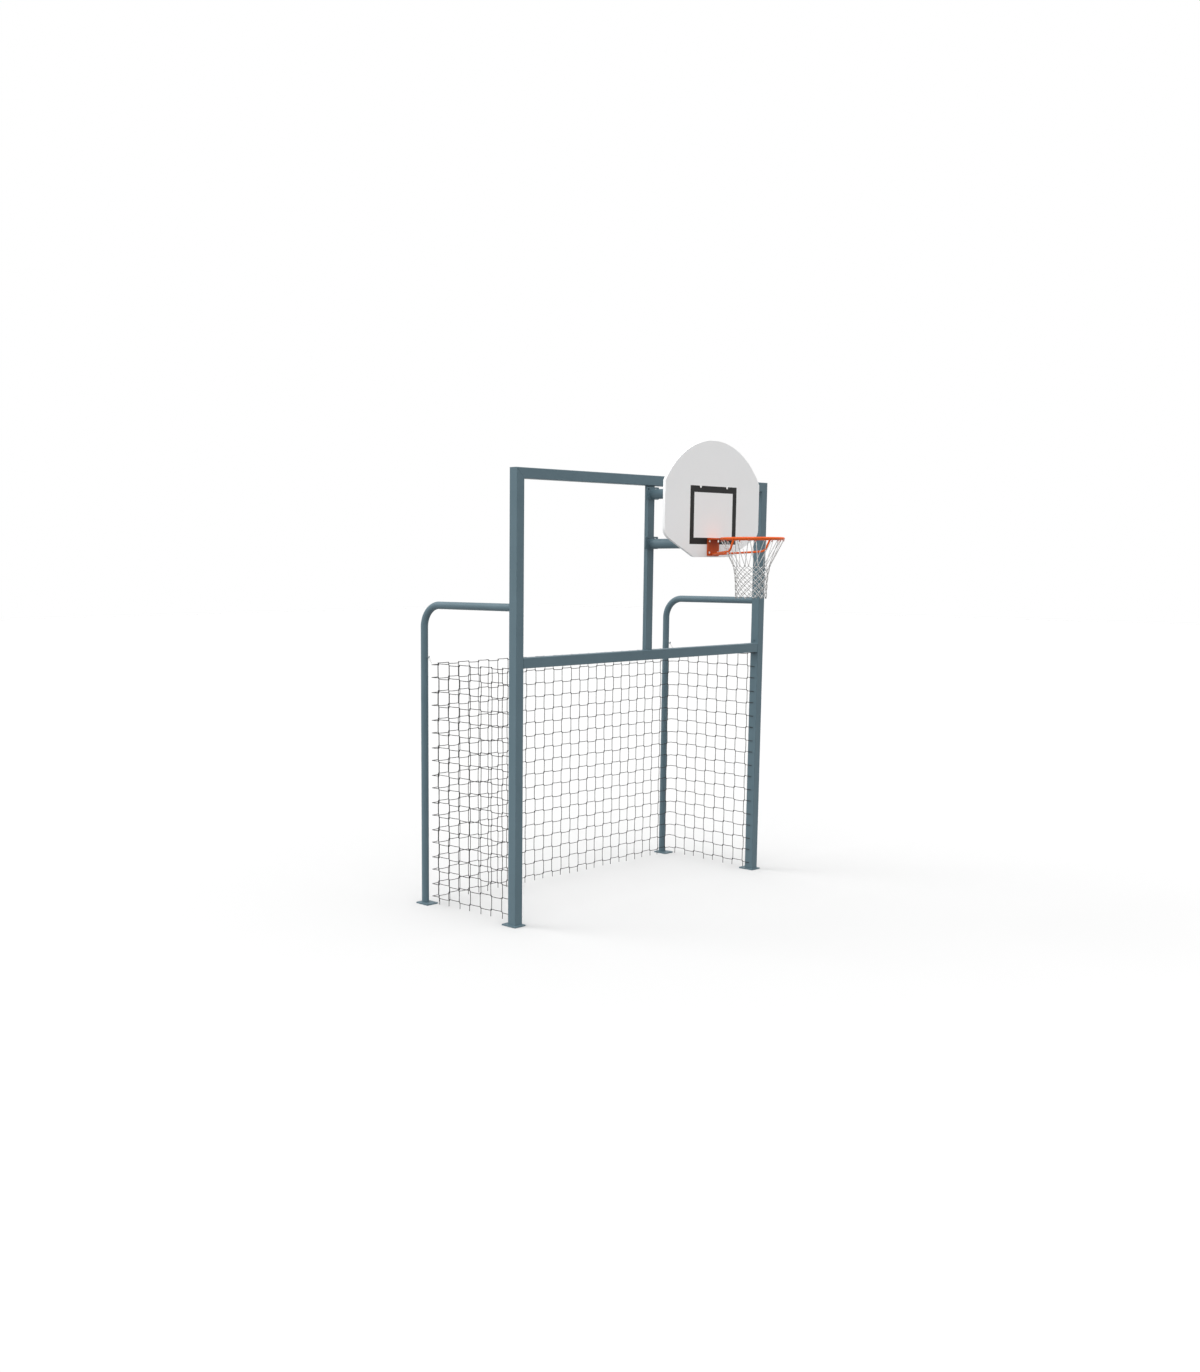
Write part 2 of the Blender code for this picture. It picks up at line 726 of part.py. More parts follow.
def net_panel(name, width, columns):
    """A flat net of cords: width along X, height along Y, with free ends below.

    The level cords step up and down by the jog from column to column, as they do on the
    real net, and the upright cords run past the last row and hang."""
    half = net_cord / 2
    column_edges = [width * index / columns for index in range(columns + 1)]
    column_edges[0] += half
    column_edges[-1] -= half
    rows = [net_bottom + (net_top - net_bottom) * index / net_rows for index in range(net_rows + 1)]

    def level(column, row):
        if row in (0, net_rows):
            return rows[row]
        return rows[row] + net_jog * (-1) ** (column + row)

    outer = [(0, rows[0] - half)]
    for index in range(1, columns):
        x = column_edges[index]
        end = rows[0] - half - net_fringe
        outer += [(x - half, rows[0] - half), (x - half, end), (x + half, end), (x + half, rows[0] - half)]
    outer += [(width, rows[0] - half), (width, rows[-1] + half), (0, rows[-1] + half)]
    holes = []
    for column in range(columns):
        left = column_edges[column] + half
        right = column_edges[column + 1] - half
        for row in range(net_rows):
            low = level(column, row) + half
            high = level(column, row + 1) - half
            holes.append([(left, low), (right, low), (right, high), (left, high)])
    return flat_piece(name, outer, holes, net_cord)


def make_goal_net(collection, origin):
    """Two side panels from the posts' inner faces to the rear corners, and the back.

    A side panel passes the rear edge of its post with the gap, and slants out to the corner."""
    half = net_cord / 2
    inner_x = mouth_width / 2 - gap - half
    along = Vector((post_centre - inner_x, net_back_reach - beam_section)).normalized()
    start = Vector((inner_x, beam_section)) - along * (beam_section - net_front_reach) / along.y
    stop_y = net_back_reach - half - gap - half * along.x
    width = (stop_y - start.y) / along.y
    for side, label in ((-1, "left"), (1, "right")):
        panel = net_panel(label + "_side_net", width, side_columns)
        turn = Matrix.Rotation(pi / 2 - side * asin(along.x), 4, "Z") @ facing_field
        place(panel, collection, origin, grey_cord, (side * start.x, start.y, 0), turn)
    back_width = 2 * post_centre + net_cord
    back = net_panel("back_net", back_width, back_columns)
    place(back, collection, origin, grey_cord, (-back_width / 2, net_back_reach, 0), facing_field)


def make_corner_hooks(collection, origin):
    """Hooks on the front of the hoops, and the ties that hang the net's corners on them."""
    radius = corner_hook_wire / 2
    height = net_top + corner_hook_rise
    root = (0, hoop_front - gap, 0)
    bend = (0, hoop_front - corner_hook_length + radius, 0)
    tip = (0, bend[1], corner_hook_tip)
    route = [root] + round_corner(root, bend, tip, radius, 2) + [tip]
    hook_mesh = finished_mesh(rod("corner_hook", route, corner_hook_wire, 2))
    over_radius = radius + gap + tie_cord / 2
    over_y = (root[1] + bend[1]) / 2
    foot_height = net_top + net_cord / 2 + gap + tie_cord / 2 + tie_foot_radius
    over = arc((0, height), over_radius, 0, pi, 4)
    under = arc((0, foot_height), tie_foot_radius, pi, 2 * pi, 2)
    loop = [(x, over_y, z) for x, z in over] + [(x, net_back_reach, z) for x, z in under]
    tie_mesh = finished_mesh(rod("corner_tie", loop, tie_cord, 1, capped=False, closed=True))
    for side, label in ((-1, "left"), (1, "right")):
        hook = bpy.data.objects.new(label + "_corner_hook", hook_mesh)
        place(hook, collection, origin, frame_paint, (side * post_centre, 0, height))
        tie = bpy.data.objects.new(label + "_corner_tie", tie_mesh)
        place(tie, collection, origin, white_cord, (side * post_centre, 0, 0))


def main():
    clear_scene()
    collection = new_collection("handball_basketball_goal")
    helpers = new_collection("cutters")
    origin = bpy.data.objects.new("goal_origin", None)
    collection.objects.link(origin)
    origin.location = (0, origin_shift, 0)
    make_posts(collection, helpers, origin)
    make_beams(collection, origin)
    make_hoops(collection, origin)
    make_base_plates(collection, origin)
    make_arms(collection, origin)
    make_board(collection, origin)
    make_rim_ring(collection, origin)
    make_rim_plates(collection, origin)
    make_struts(collection, origin)
    make_net_hooks(collection, origin)
    make_basket_net(collection, origin)
    make_fasteners(collection, helpers, origin)
    make_goal_net(collection, origin)
    make_corner_hooks(collection, origin)
    bpy.context.view_layer.update()


main()
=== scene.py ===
# %% [markdown]
# # A goal for two games
#
# The object is one welded steel frame with a handball goal below and a basket above.
# Every tube, plate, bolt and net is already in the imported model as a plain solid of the
# right size. Each step below measures one of those solids, works out a finer surface for
# it with numpy, and puts that surface in its place. Nothing is placed by eye, so the
# dressed goal stays exactly as large as the plain one.

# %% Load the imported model
from collections import namedtuple
from math import asin, pi, radians

import bmesh
import bpy
import numpy as np
from mathutils import Matrix, Vector


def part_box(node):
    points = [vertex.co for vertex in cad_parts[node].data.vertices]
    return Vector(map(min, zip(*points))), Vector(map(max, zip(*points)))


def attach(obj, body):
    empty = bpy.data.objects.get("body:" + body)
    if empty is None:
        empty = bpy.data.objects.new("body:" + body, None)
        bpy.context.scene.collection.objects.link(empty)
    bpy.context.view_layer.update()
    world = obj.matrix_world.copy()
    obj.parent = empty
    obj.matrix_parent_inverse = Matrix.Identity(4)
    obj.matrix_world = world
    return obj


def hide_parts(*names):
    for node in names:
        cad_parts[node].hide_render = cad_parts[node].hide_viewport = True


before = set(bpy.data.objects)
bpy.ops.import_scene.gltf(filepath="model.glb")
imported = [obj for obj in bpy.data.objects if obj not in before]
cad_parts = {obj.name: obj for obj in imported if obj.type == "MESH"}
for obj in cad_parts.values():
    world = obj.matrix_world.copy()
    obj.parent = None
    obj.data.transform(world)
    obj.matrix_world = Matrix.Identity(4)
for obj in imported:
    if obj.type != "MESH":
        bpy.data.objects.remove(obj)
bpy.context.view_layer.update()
box = {name: np.array(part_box(name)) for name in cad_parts}
centre_of = {name: corners.mean(axis=0) for name, corners in box.items()}

# %% [markdown]
# ## The camera
#
# The goal is seen from its left front, from a little lower than the basket. A long lens far
# away keeps the posts almost parallel. The lens axis doesn't pass through the middle of the
# picture, so the film is shifted, as on a view camera, and nothing has to be cropped. Blender
# counts lens and shift in units of the picture's longer side, which is its height here.

# %% Camera
picture_width, picture_height = 1200, 1372
lens_in_pixels = 1431.16
lens_axis_x, lens_axis_y = 467.43, 760.45
film_side = 36.0
camera_place = (-9.233, -7.5663, 2.7948)
turned_right = radians(43.2)
tilted_down = radians(7.858)


def linked(name, data):
    """New object in the scene."""
    item = bpy.data.objects.new(name, data)
    bpy.context.scene.collection.objects.link(item)
    return item


lens = bpy.data.cameras.new("camera")
lens.sensor_width = film_side
lens.lens = film_side * lens_in_pixels / picture_height
lens.shift_x = (picture_width / 2 - lens_axis_x) / picture_height
lens.shift_y = (lens_axis_y - picture_height / 2) / picture_height
camera = linked("camera", lens)
camera.location = camera_place
camera.rotation_euler = (pi / 2 - tilted_down, 0, -turned_right)
bpy.context.scene.camera = camera
print("lens", round(lens.lens, 2), "mm, shift", round(lens.shift_x, 4), round(lens.shift_y, 4))

# %% [markdown]
# ## Surfaces from arrays
#
# Most of this goal is something round or square carried along a line: tubes, wires, weld
# beads and cords. All of them are grids of points. A row of the grid is one section, and the
# rows follow each other along the line. The next cells hold the three steps that all such
# pieces share: faces over a grid, the direction of a line, and a section carried along it.
# Blender's curve objects could do the same one at a time, but arrays handle hundreds of
# cords at once and also give each face its place along the cord, for the pattern of the lay.

# %% Faces over a grid
Shape = namedtuple("Shape", "points quads cord_places triangles")


def skin(points, wrap, ends, lengths):
    """Faces over grids of points, shaped (grid, row, column, xyz).

    The face (i, j) joins the points (i, j), (i, j + 1), (i + 1, j + 1) and (i + 1, j). The
    columns always close round. The rows close too where wrap is true, and otherwise a fan of
    triangles shuts each end round the points in ends. Lengths are distances along the rows."""
    grids, rows, columns = points.shape[:3]
    row, column = np.indices((rows if wrap else rows - 1, columns)).reshape(2, -1)
    after, beside = (row + 1) % rows, (column + 1) % columns
    quads = np.stack([row * columns + column, row * columns + beside,
                      after * columns + beside, after * columns + column], axis=1)
    start = np.arange(grids)[:, None] * rows * columns
    quads = (start[..., None] + quads).reshape(-1, 4)
    distance = lengths[:, np.stack([row, row, row + 1, row + 1], axis=1)]
    turn = np.stack([column, column + 1, column + 1, column], axis=1) / columns
    places = np.stack([np.broadcast_to(turn, distance.shape), distance], axis=-1).reshape(-1, 4, 2)
    if wrap:
        return Shape(points.reshape(-1, 3), quads, places, np.zeros((0, 3), int))
    centres = grids * rows * columns + np.arange(2 * grids).reshape(grids, 2)
    edge, next_edge = np.arange(columns), (np.arange(columns) + 1) % columns
    last = start + (rows - 1) * columns
    near = np.stack([np.repeat(centres[:, :1], columns, 1), start + next_edge, start + edge], axis=-1)
    far = np.stack([np.repeat(centres[:, 1:], columns, 1), last + edge, last + next_edge], axis=-1)
    triangles = np.concatenate([near, far]).reshape(-1, 3)
    return Shape(np.concatenate([points.reshape(-1, 3), ends.reshape(-1, 3)]), quads, places, triangles)


# %% A section carried along a line
x_axis, y_axis, z_axis = np.eye(3)


def unit(vectors):
    """The same directions with length 1."""
    return vectors / np.linalg.norm(vectors, axis=-1, keepdims=True)


def heading(paths, closed):
    """Unit direction at each point of each path: the mean of the steps before and after it."""
    if closed:
        steps = unit(np.roll(paths, -1, axis=1) - paths)
        return unit(steps + np.roll(steps, 1, axis=1))
    steps = unit(np.diff(paths, axis=1))
    return unit(np.concatenate([steps[:, :1], steps[:, :-1] + steps[:, 1:], steps[:, -1:]], axis=1))


def swept(paths, section, reference, closed=False):
    """Tubes along paths shaped (path, point, xyz): S(i, j) = P(i) + a(j) N(i) + b(j) B(i).

    T is the heading of the path at P(i), N is the reference direction made square to T, and
    B is T cross N. The section holds the pairs (a, b), anticlockwise seen against T."""
    paths = np.asarray(paths, float)
    ahead = heading(paths, closed)
    reference = np.broadcast_to(reference, paths.shape)
    side = unit(reference - (reference * ahead).sum(-1, keepdims=True) * ahead)
    across = np.cross(ahead, side)
    points = (paths[..., None, :] + section[..., :1] * side[..., None, :]
              + section[..., 1:] * across[..., None, :])
    steps = (np.roll(paths, -1, axis=1) - paths) if closed else np.diff(paths, axis=1)
    lengths = np.cumsum(np.linalg.norm(steps, axis=-1), axis=1)
    lengths = np.concatenate([np.zeros((len(paths), 1)), lengths], axis=1)
    return skin(points, closed, paths[:, [0, -1]], lengths)


def spokes(angle):
    """Unit directions (cos a, sin a) in a plane."""
    return np.stack([np.cos(angle), np.sin(angle)], axis=-1)


def ring(radius, sides):
    """Round section (r cos a, r sin a). The radius may be an array with one value for each row."""
    return np.asarray(radius)[..., None, None] * spokes(np.arange(sides) * 2 * pi / sides)


def round_bar(line, radius, sides, reference, closed=False):
    """A round section carried along one line."""
    return swept(np.asarray(line, float)[None], ring(radius, sides), reference, closed)


# %% Lines to carry it along
def straight(centre, axis, start, end):
    """Two points, on a line through the centre, from start to end on one axis."""
    line = np.array([centre, centre], float)
    line[:, axis] = start, end
    return line


def circle(centre, first, second, radius, points):
    """Round line c + r (cos a u + sin a v), with u and v as its first and second direction."""
    angle = np.arange(points)[:, None] * 2 * pi / points
    return centre + radius * (np.cos(angle) * first + np.sin(angle) * second)


def top_arc(centre, radius, half_width, points):
    """Part of a circle in a plane, from half_width right of its centre, over the top, to as far left."""
    spread = asin(half_width / radius)
    return centre + radius * spokes(np.linspace(pi / 2 - spread, pi / 2 + spread, points))


def bent(corners, radius, steps=10):
    """A line of straight runs through the corners, where each bend is an arc of the radius.

    The arc lies about the point on the bisector that is as far from both runs as the radius.
    Its spokes turn evenly from the first run's end to the second run's start."""
    corners = np.array(corners, float)
    pieces = [corners[:1]]
    share = np.linspace(0, 1, steps + 1)[:, None]
    for before, corner, after in zip(corners, corners[1:], corners[2:]):
        back, on = unit(before - corner), unit(after - corner)
        half = np.arccos(back @ on) / 2
        centre = corner + unit(back + on) * radius / np.sin(half)
        start = corner + back * radius / np.tan(half) - centre
        end = corner + on * radius / np.tan(half) - centre
        swing = pi - 2 * half
        turned = (start * np.sin((1 - share) * swing) + end * np.sin(share * swing)) / np.sin(swing)
        pieces.append(centre + turned)
    return np.concatenate(pieces + [corners[-1:]])


# %% Shapes into pieces
def joined(shapes):
    """One shape from several: the faces of each count on from the points of those before it."""
    starts = np.cumsum([0] + [len(shape.points) for shape in shapes[:-1]])
    return Shape(np.concatenate([shape.points for shape in shapes]),
                 np.concatenate([shape.quads + start for shape, start in zip(shapes, starts)]),
                 np.concatenate([shape.cord_places for shape in shapes]),
                 np.concatenate([shape.triangles + start for shape, start in zip(shapes, starts)]))


def mesh_from(name, shape):
    """Blender mesh of a shape, with the places along and round each cord as its UV map."""
    mesh = bpy.data.meshes.new(name)
    corners = np.concatenate([shape.quads.ravel(), shape.triangles.ravel()])
    sides = np.repeat([4, 3], [len(shape.quads), len(shape.triangles)])
    mesh.vertices.add(len(shape.points))
    mesh.loops.add(len(corners))
    mesh.polygons.add(len(sides))
    mesh.vertices.foreach_set("co", shape.points.astype(np.float32).ravel())
    mesh.loops.foreach_set("vertex_index", corners.astype(np.int32))
    mesh.polygons.foreach_set("loop_start", (np.cumsum(sides) - sides).astype(np.int32))
    places = np.zeros((len(corners), 2), np.float32)
    places[:shape.quads.size] = shape.cord_places.reshape(-1, 2)
    mesh.uv_layers.new(name="cord").data.foreach_set("uv", places.ravel())
    mesh.update(calc_edges=True)
    mesh.validate()
    return mesh


sharp_on_steel, sharp_on_cord, sharp_on_hardware = 35, 60, 28


def add_piece(name, form, finish, stands_for=(), sharp_above=sharp_on_steel):
    """Puts a shape or mesh in the goal: it rides on the frame and hides the solids it replaces."""
    mesh = mesh_from(name, form) if isinstance(form, Shape) else form
    piece = linked(name, mesh)
    mesh.materials.append(finish)
    mesh.shade_smooth()
    mesh.set_sharp_from_angle(angle=radians(sharp_above))
    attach(piece, "root")
    if stands_for:
        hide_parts(*stands_for)
    return piece


def applied(item):
    """The mesh that an object shows, with its modifiers applied."""
    return bpy.data.meshes.new_from_object(item.evaluated_get(bpy.context.evaluated_depsgraph_get()))


def even_normals(piece):
    """Lets large flat faces keep their own normal where a small round edge meets them."""
    modifier = piece.modifiers.new("even_normals", "WEIGHTED_NORMAL")
    modifier.keep_sharp = True
    return piece


# %% [markdown]
# ## Shader maths as Python
#
# A finish is worked out in Blender's node editor, where every sum and product is a node of
# its own. That is hard to read in a script, so one small class stands for the value that
# comes out of a node, and Python's own + - * and ** add the Math nodes. Everything else
# comes from one method, which makes a node, sets it up and fills its inputs.

# %% Fields and finishes
class Field:
    """A value that changes over a surface."""

    def __init__(self, finish, socket):
        self.finish = finish
        self.socket = socket

    def __add__(self, other):
        return self.finish.maths("ADD", self, other)

    def __mul__(self, other):
        return self.finish.maths("MULTIPLY", self, other)

    def __sub__(self, other):
        return self.finish.maths("SUBTRACT", self, other)

    def __rsub__(self, other):
        return self.finish.maths("SUBTRACT", other, self)

    def __pow__(self, other):
        return self.finish.maths("POWER", self, other)

    __radd__ = __add__
    __rmul__ = __mul__


class Finish:
    """The nodes of a material or of the world."""

    def __init__(self, owner):
        owner.use_nodes = True
        self.owner = owner
        self.tree = owner.node_tree

    def node(self, kind, settings=None, values=None, output=0):
        """Adds a node: first its settings, then a value or a link for each input that is named."""
        made = self.tree.nodes.new(kind)
        for name, setting in (settings or {}).items():
            setattr(made, name, setting)
        for socket, value in (values or {}).items():
            self.fill(made.inputs[socket], value)
        return Field(self, made.outputs[output])

    def fill(self, socket, value):
        if isinstance(value, Field):
            self.tree.links.new(value.socket, socket)
        else:
            socket.default_value = value

    def maths(self, operation, first, second=0.0):
        return self.node("ShaderNodeMath", {"operation": operation}, {0: first, 1: second})

    def places(self):
        """Position in the goal's own frame, in metres."""
        return self.node("ShaderNodeTexCoord", output="Object")

    def parts(self, vector):
        """The three numbers of a vector, each as a value of its own."""
        split = self.node("ShaderNodeSeparateXYZ", values={"Vector": vector}).socket.node
        return [Field(self, output) for output in split.outputs]

    def ray_is(self, *kinds):
        """1 for rays of light of these kinds, and 0 for all others."""
        path = self.node("ShaderNodeLightPath").socket.node
        return self.stretch(sum(Field(self, path.outputs[f"Is {kind} Ray"]) for kind in kinds), 0.0, 1.0)

    def noise(self, scale, detail=2.0, roughness=0.5):
        """Cloudy noise from 0 to 1, with about scale lumps to the metre."""
        values = {"Vector": self.places(), "Scale": scale, "Detail": detail, "Roughness": roughness}
        return self.node("ShaderNodeTexNoise", values=values, output="Fac")

    def stretch(self, value, low, high):
        """Maps low..high to 0..1 and holds it there outside."""
        return self.node("ShaderNodeMapRange", {"clamp": True},
                         {"Value": value, "From Min": low, "From Max": high})

    def blend(self, share, first, second):
        """Colour between two colours."""
        return self.node("ShaderNodeMix", {"data_type": "RGBA"}, {0: share, 6: first, 7: second}, output=2)

    def bump(self, height, depth):
        """Normal of a surface that stands depth metres proud where height is 1."""
        return self.node("ShaderNodeBump", values={"Height": height, "Distance": depth, "Strength": 1.0})

    def surface(self, **inputs):
        """Fills the inputs of the material's own shader, named in Python's way."""
        shader = self.tree.nodes["Principled BSDF"]
        for name, value in inputs.items():
            self.fill(shader.inputs[name.replace("_", " ").title().replace("Ior", "IOR")], value)
        return self.owner


def new_finish(name):
    return Finish(bpy.data.materials.new(name))


def tone(red, green, blue):
    return (red, green, blue, 1.0)


# %% [markdown]
# ## Powder coat
#
# The frame is zinc-coated steel under a blue-grey powder coat, and the rim has an orange
# one. Powder melts into an even skin with a fine orange peel and a satin sheen that isn't
# quite the same everywhere. An image texture would smear along the tubes, so the peel and
# the clouds are noise in the frame's own metres, and they keep their scale on every piece.
# The rim's upright plate has painted shade: its colour darkens more and more towards its
# top, under the level plate, as that plate's shadow would. So that plate has a coat of its own,
# which takes the two heights between which the painted shade grows.

# %% Powder coat
peel_depth = 0.00012
dust_tone = (0.55, 0.55, 0.53)
painted_shade_tone = (0.10, 0.022, 0.008)
least_painted_shade, painted_shade_growth, painted_shade_clouds = 0.2, 0.35, 0.05


def powder_coat(name, light, dark, roughness, shine, painted_shade_heights=None):
    """Light and dark are the paint's colours where it is thinner and thicker.

    Between the two heights, if any, painted shade darkens the colour from least to least + growth, with
    light clouds."""
    coat = new_finish(name)
    cloud = coat.stretch(coat.noise(3.0, 4.0, 0.6), 0.3, 0.7)
    speck = coat.noise(260.0, 2.0)
    peel = coat.noise(700.0, 1.0)
    sheen = coat.noise(18.0, 3.0)
    dust = coat.stretch(coat.noise(45.0, 5.0, 0.7), 0.62, 0.8)
    colour = coat.blend(cloud * 0.7 + speck * 0.3, tone(*dark), tone(*light))
    if painted_shade_heights is not None:
        # painted shade: the colour darkens towards the plate's top, where the level plate shades it
        height = coat.parts(coat.places())[2]
        painted_shade = coat.stretch(height, *painted_shade_heights) * painted_shade_growth + least_painted_shade + cloud * painted_shade_clouds
        colour = coat.blend(painted_shade, colour, tone(*painted_shade_tone))
    return coat.surface(
        base_color=coat.blend(dust * 0.05, colour, tone(*dust_tone)),
        roughness=roughness + sheen * 0.12 + dust * 0.1,
        normal=coat.bump(peel + speck * 0.5, peel_depth),
        specular_ior_level=shine)


orange = ((0.79, 0.128, 0.017), (0.71, 0.102, 0.0125), 0.40, 0.18)
frame_paint = powder_coat("frame_powder_coat", (0.102, 0.160, 0.190), (0.086, 0.138, 0.165), 0.42, 0.30)
rim_paint = powder_coat("rim_powder_coat", *orange)
# this plate's coat has painted shade, darker towards its top under the level plate
plate_paint = powder_coat("rim_plate_powder_coat", *orange, box["rim_back_plate"][:, 2])
print("paints:", frame_paint.name, rim_paint.name, plate_paint.name)

# %% [markdown]
# ## Board, marking and bolts
#
# The board is a white laminate with a fine satin grain, and its sawn edge shows the same
# white. The black aiming rectangle is a film stuck on it. The bolts and nuts are zinc
# plated, which gives a soft metal with a faint crystal pattern, so a cell pattern shifts
# their roughness and their brightness a little from grain to grain.

# %% Laminate, film and zinc
def laminate(name):
    board = new_finish(name)
    cloud = board.noise(4.0, 4.0, 0.6)
    grain = board.noise(1400.0, 2.0)
    rubbed = board.stretch(board.noise(9.0, 6.0, 0.65), 0.5, 0.75)
    return board.surface(
        base_color=board.blend(cloud, tone(0.823, 0.828, 0.832), tone(0.858, 0.863, 0.867)),
        roughness=0.34 + rubbed * 0.14 + grain * 0.05,
        normal=board.bump(grain, 0.00005),
        specular_ior_level=0.4)


def film(name):
    black = new_finish(name)
    wear = black.stretch(black.noise(60.0, 5.0, 0.7), 0.45, 0.85)
    return black.surface(
        base_color=black.blend(wear, tone(0.004, 0.004, 0.0039), tone(0.008, 0.008, 0.0078)),
        specular_ior_level=0.25,
        roughness=0.42 + wear * 0.2,
        normal=black.bump(black.noise(900.0, 1.0), 0.00003))


def zinc(name):
    metal = new_finish(name)
    grain = metal.node("ShaderNodeTexVoronoi", {"feature": "F1"},
                       {"Vector": metal.places(), "Scale": 420.0}, output="Color")
    flake = metal.node("ShaderNodeRGBToBW", values={"Color": grain})
    return metal.surface(
        base_color=metal.blend(flake, tone(0.66, 0.66, 0.65), tone(0.86, 0.86, 0.85)),
        metallic=1.0,
        roughness=0.24 + flake * 0.18,
        normal=metal.bump(metal.noise(1200.0, 1.0), 0.00003))


board_coat = laminate("white_laminate")
marking = film("black_film")
bright_zinc = zinc("bright_zinc")
print("board, film and zinc are ready")

# %% [markdown]
# ## Cord
#
# Both nets are laid cord: three strands twisted round each other, with fine yarns in each
# strand. The pattern must follow every cord, so it reads the UV map, where one axis is the
# turn round the cord and the other is the distance along it in metres. A sine over the sum
# of the two makes the slanting strands, and a finer one with the opposite slant the yarns.
# The creases between the strands take a dark colour, which is painted shade.
# The white net's knots are pulled so tight that little light gets out of their creases, so
# their cord is painted darker still, as painted shade.

# %% Laid cord
strands, yarns, yarn_twist = 3, 9, 4
lay_depth = 0.0004


def laid_cord(name, light, dark, pitch):
    """Pitch is the length in which a strand goes once round the cord."""
    cord = new_finish(name)
    turn, distance, _ = cord.parts(cord.node("ShaderNodeUVMap", {"uv_map": "cord"}))

    def ridges(turns):
        """Round ridges with sharp creases: |sin(pi t)|."""
        return cord.maths("ABSOLUTE", cord.maths("SINE", turns * pi))

    # painted shade: the creases between the strands take the dark colour, the crowns the light one
    strand = ridges(turn * strands + distance * (1 / pitch))
    yarn = ridges(turn * yarns - distance * (yarn_twist / pitch))
    soil = cord.noise(30.0, 4.0)
    return cord.surface(
        base_color=cord.blend(strand * 0.8 + soil * 0.2, tone(*dark), tone(*light)),
        roughness=0.78 + soil * 0.15,
        normal=cord.bump(strand ** 0.5 + yarn * 0.15, lay_depth),
        specular_ior_level=0.3)


# each cord's dark colour is painted shade in its creases
white_cord = laid_cord("basket_cord", (0.88, 0.88, 0.87), (0.12, 0.12, 0.118), 0.015)
# painted shade: the knots' cord is darker, as their tight creases let little light out
knot_cord_painted_shade = laid_cord("basket_knot_cord", (0.40, 0.40, 0.395), (0.04, 0.04, 0.04), 0.015)
grey_cord = laid_cord("goal_cord", (0.045, 0.043, 0.042), (0.016, 0.015, 0.015), 0.012)
print("cords:", white_cord.name, knot_cord_painted_shade.name, grey_cord.name)

# %% [markdown]
# ## Square tubes
#
# Posts, top beam and crossbar are square tube with rounded corners, and the centre post is a
# flatter one. A cube with bevelled edges would do, but a section carried along the tube gives
# exact round corners in few faces. The top corners of the frame are mitred: both tubes are
# cut at 45 degrees, which shifts each point of the end section along the tube by as much as
# it lies inwards. Each tube takes its length and width from the box of its plain solid.

# %% Square tube
post_corner, centre_post_corner = 0.005, 0.004
corner_steps = 8


def rounded_box(width, depth, radius):
    """Section with quarter circles of the radius about the four inner corners."""
    angle = np.arange(4)[:, None] * pi / 2 + np.linspace(0, pi / 2, corner_steps + 1)
    centre_x = (width / 2 - radius) * np.array([1, -1, -1, 1])[:, None]
    centre_y = (depth / 2 - radius) * np.array([1, 1, -1, -1])[:, None]
    rounding = [centre_x + radius * np.cos(angle), centre_y + radius * np.sin(angle)]
    return np.stack(rounding, axis=-1).reshape(-1, 2)


def box_outline(node, axes, radius):
    """Rounded outline of a solid's box in the plane of two axes."""
    low, high = box[node][:, axes]
    return rounded_box(*(high - low), radius) + (low + high) / 2


def square_tube(node, axis, side_axis, radius, mitres=(0, 0)):
    """Tube as long as the solid's box along one axis, as a piece, and its two end sections.

    A mitre is the slope of an end's cut."""
    low, high = box[node]
    size = high - low
    section = rounded_box(size[side_axis], size[3 - axis - side_axis], radius)
    line = straight(centre_of[node], axis, low[axis], high[axis])
    shape = swept(line[None], section, np.eye(3)[side_axis])
    rows, ends = shape.points[:-2].reshape(2, -1, 3), shape.points[-2:]
    for row, end, slope, inwards in zip(rows, ends, mitres, (1, -1)):
        inset = abs(slope) * size[side_axis] / 2 * inwards
        row[:, axis] += section[:, 0] * slope + inset
        end[axis] += inset
    return add_piece(node + "_tube", shape, frame_paint, [node]), rows


# %% [markdown]
# ## Weld beads
#
# All tubes and plates of the frame meet in fillet welds under the paint. A bead is a thin
# tube along the seam, half sunk in the corner, whose radius swells with every drop of weld.
# One sweep makes each bead, and all beads of the frame end up in one piece, as they are one
# run of metal on the real goal.

# %% Weld bead
weld_ripple = 0.0032
weld_samples, weld_sides = 4, 8
weld_valley, weld_swell = 0.9, 0.18
weld_shapes = []


def evenly(path, spacing, closed=True, at_least=8):
    """The same line with points at even distances, found by linear steps along its length."""
    line = np.concatenate([path, path[:1]]) if closed else path
    lengths = np.concatenate([[0], np.cumsum(np.linalg.norm(np.diff(line, axis=0), axis=1))])
    count = max(int(round(lengths[-1] / spacing)), at_least)
    wanted = np.linspace(0, lengths[-1], count + 1)
    even = np.stack([np.interp(wanted, lengths, line[:, axis]) for axis in range(3)], axis=1)
    return even[:-1] if closed else even


def bead(path, size, normal, closed=True, ripple=weld_ripple):
    """Weld bead: a tube whose radius is size times valley + swell |sin|, one swell a ripple."""
    line = evenly(path, ripple / weld_samples, closed)
    swell = np.abs(np.sin(np.arange(len(line)) * pi / weld_samples))
    return round_bar(line, size * (weld_valley + weld_swell * swell), weld_sides, normal, closed)


def outline_at(node, axis, place, radius):
    """Rounded outline of a solid's box, seen along an axis, at a place on that axis."""
    outline = box_outline(node, [other for other in range(3) if other != axis], radius)
    return np.insert(outline, axis, place, axis=1)


# %% A drilled hole
drill_reach = 0.05
hole_sides = 48


def cut_hole(piece, centre, radius):
    """Drills a round hole along X into a piece with a Boolean, applied at once."""
    line = straight(centre, 0, centre[0] - drill_reach, centre[0] + drill_reach)
    drill = linked("drill", mesh_from("drill", round_bar(line, radius, hole_sides, z_axis)))
    cut = piece.modifiers.new("hole", "BOOLEAN")
    cut.operation = "DIFFERENCE"
    cut.object = drill
    whole = piece.data
    piece.data = applied(piece)
    piece.modifiers.clear()
    bpy.data.meshes.remove(whole)
    bpy.data.objects.remove(drill)


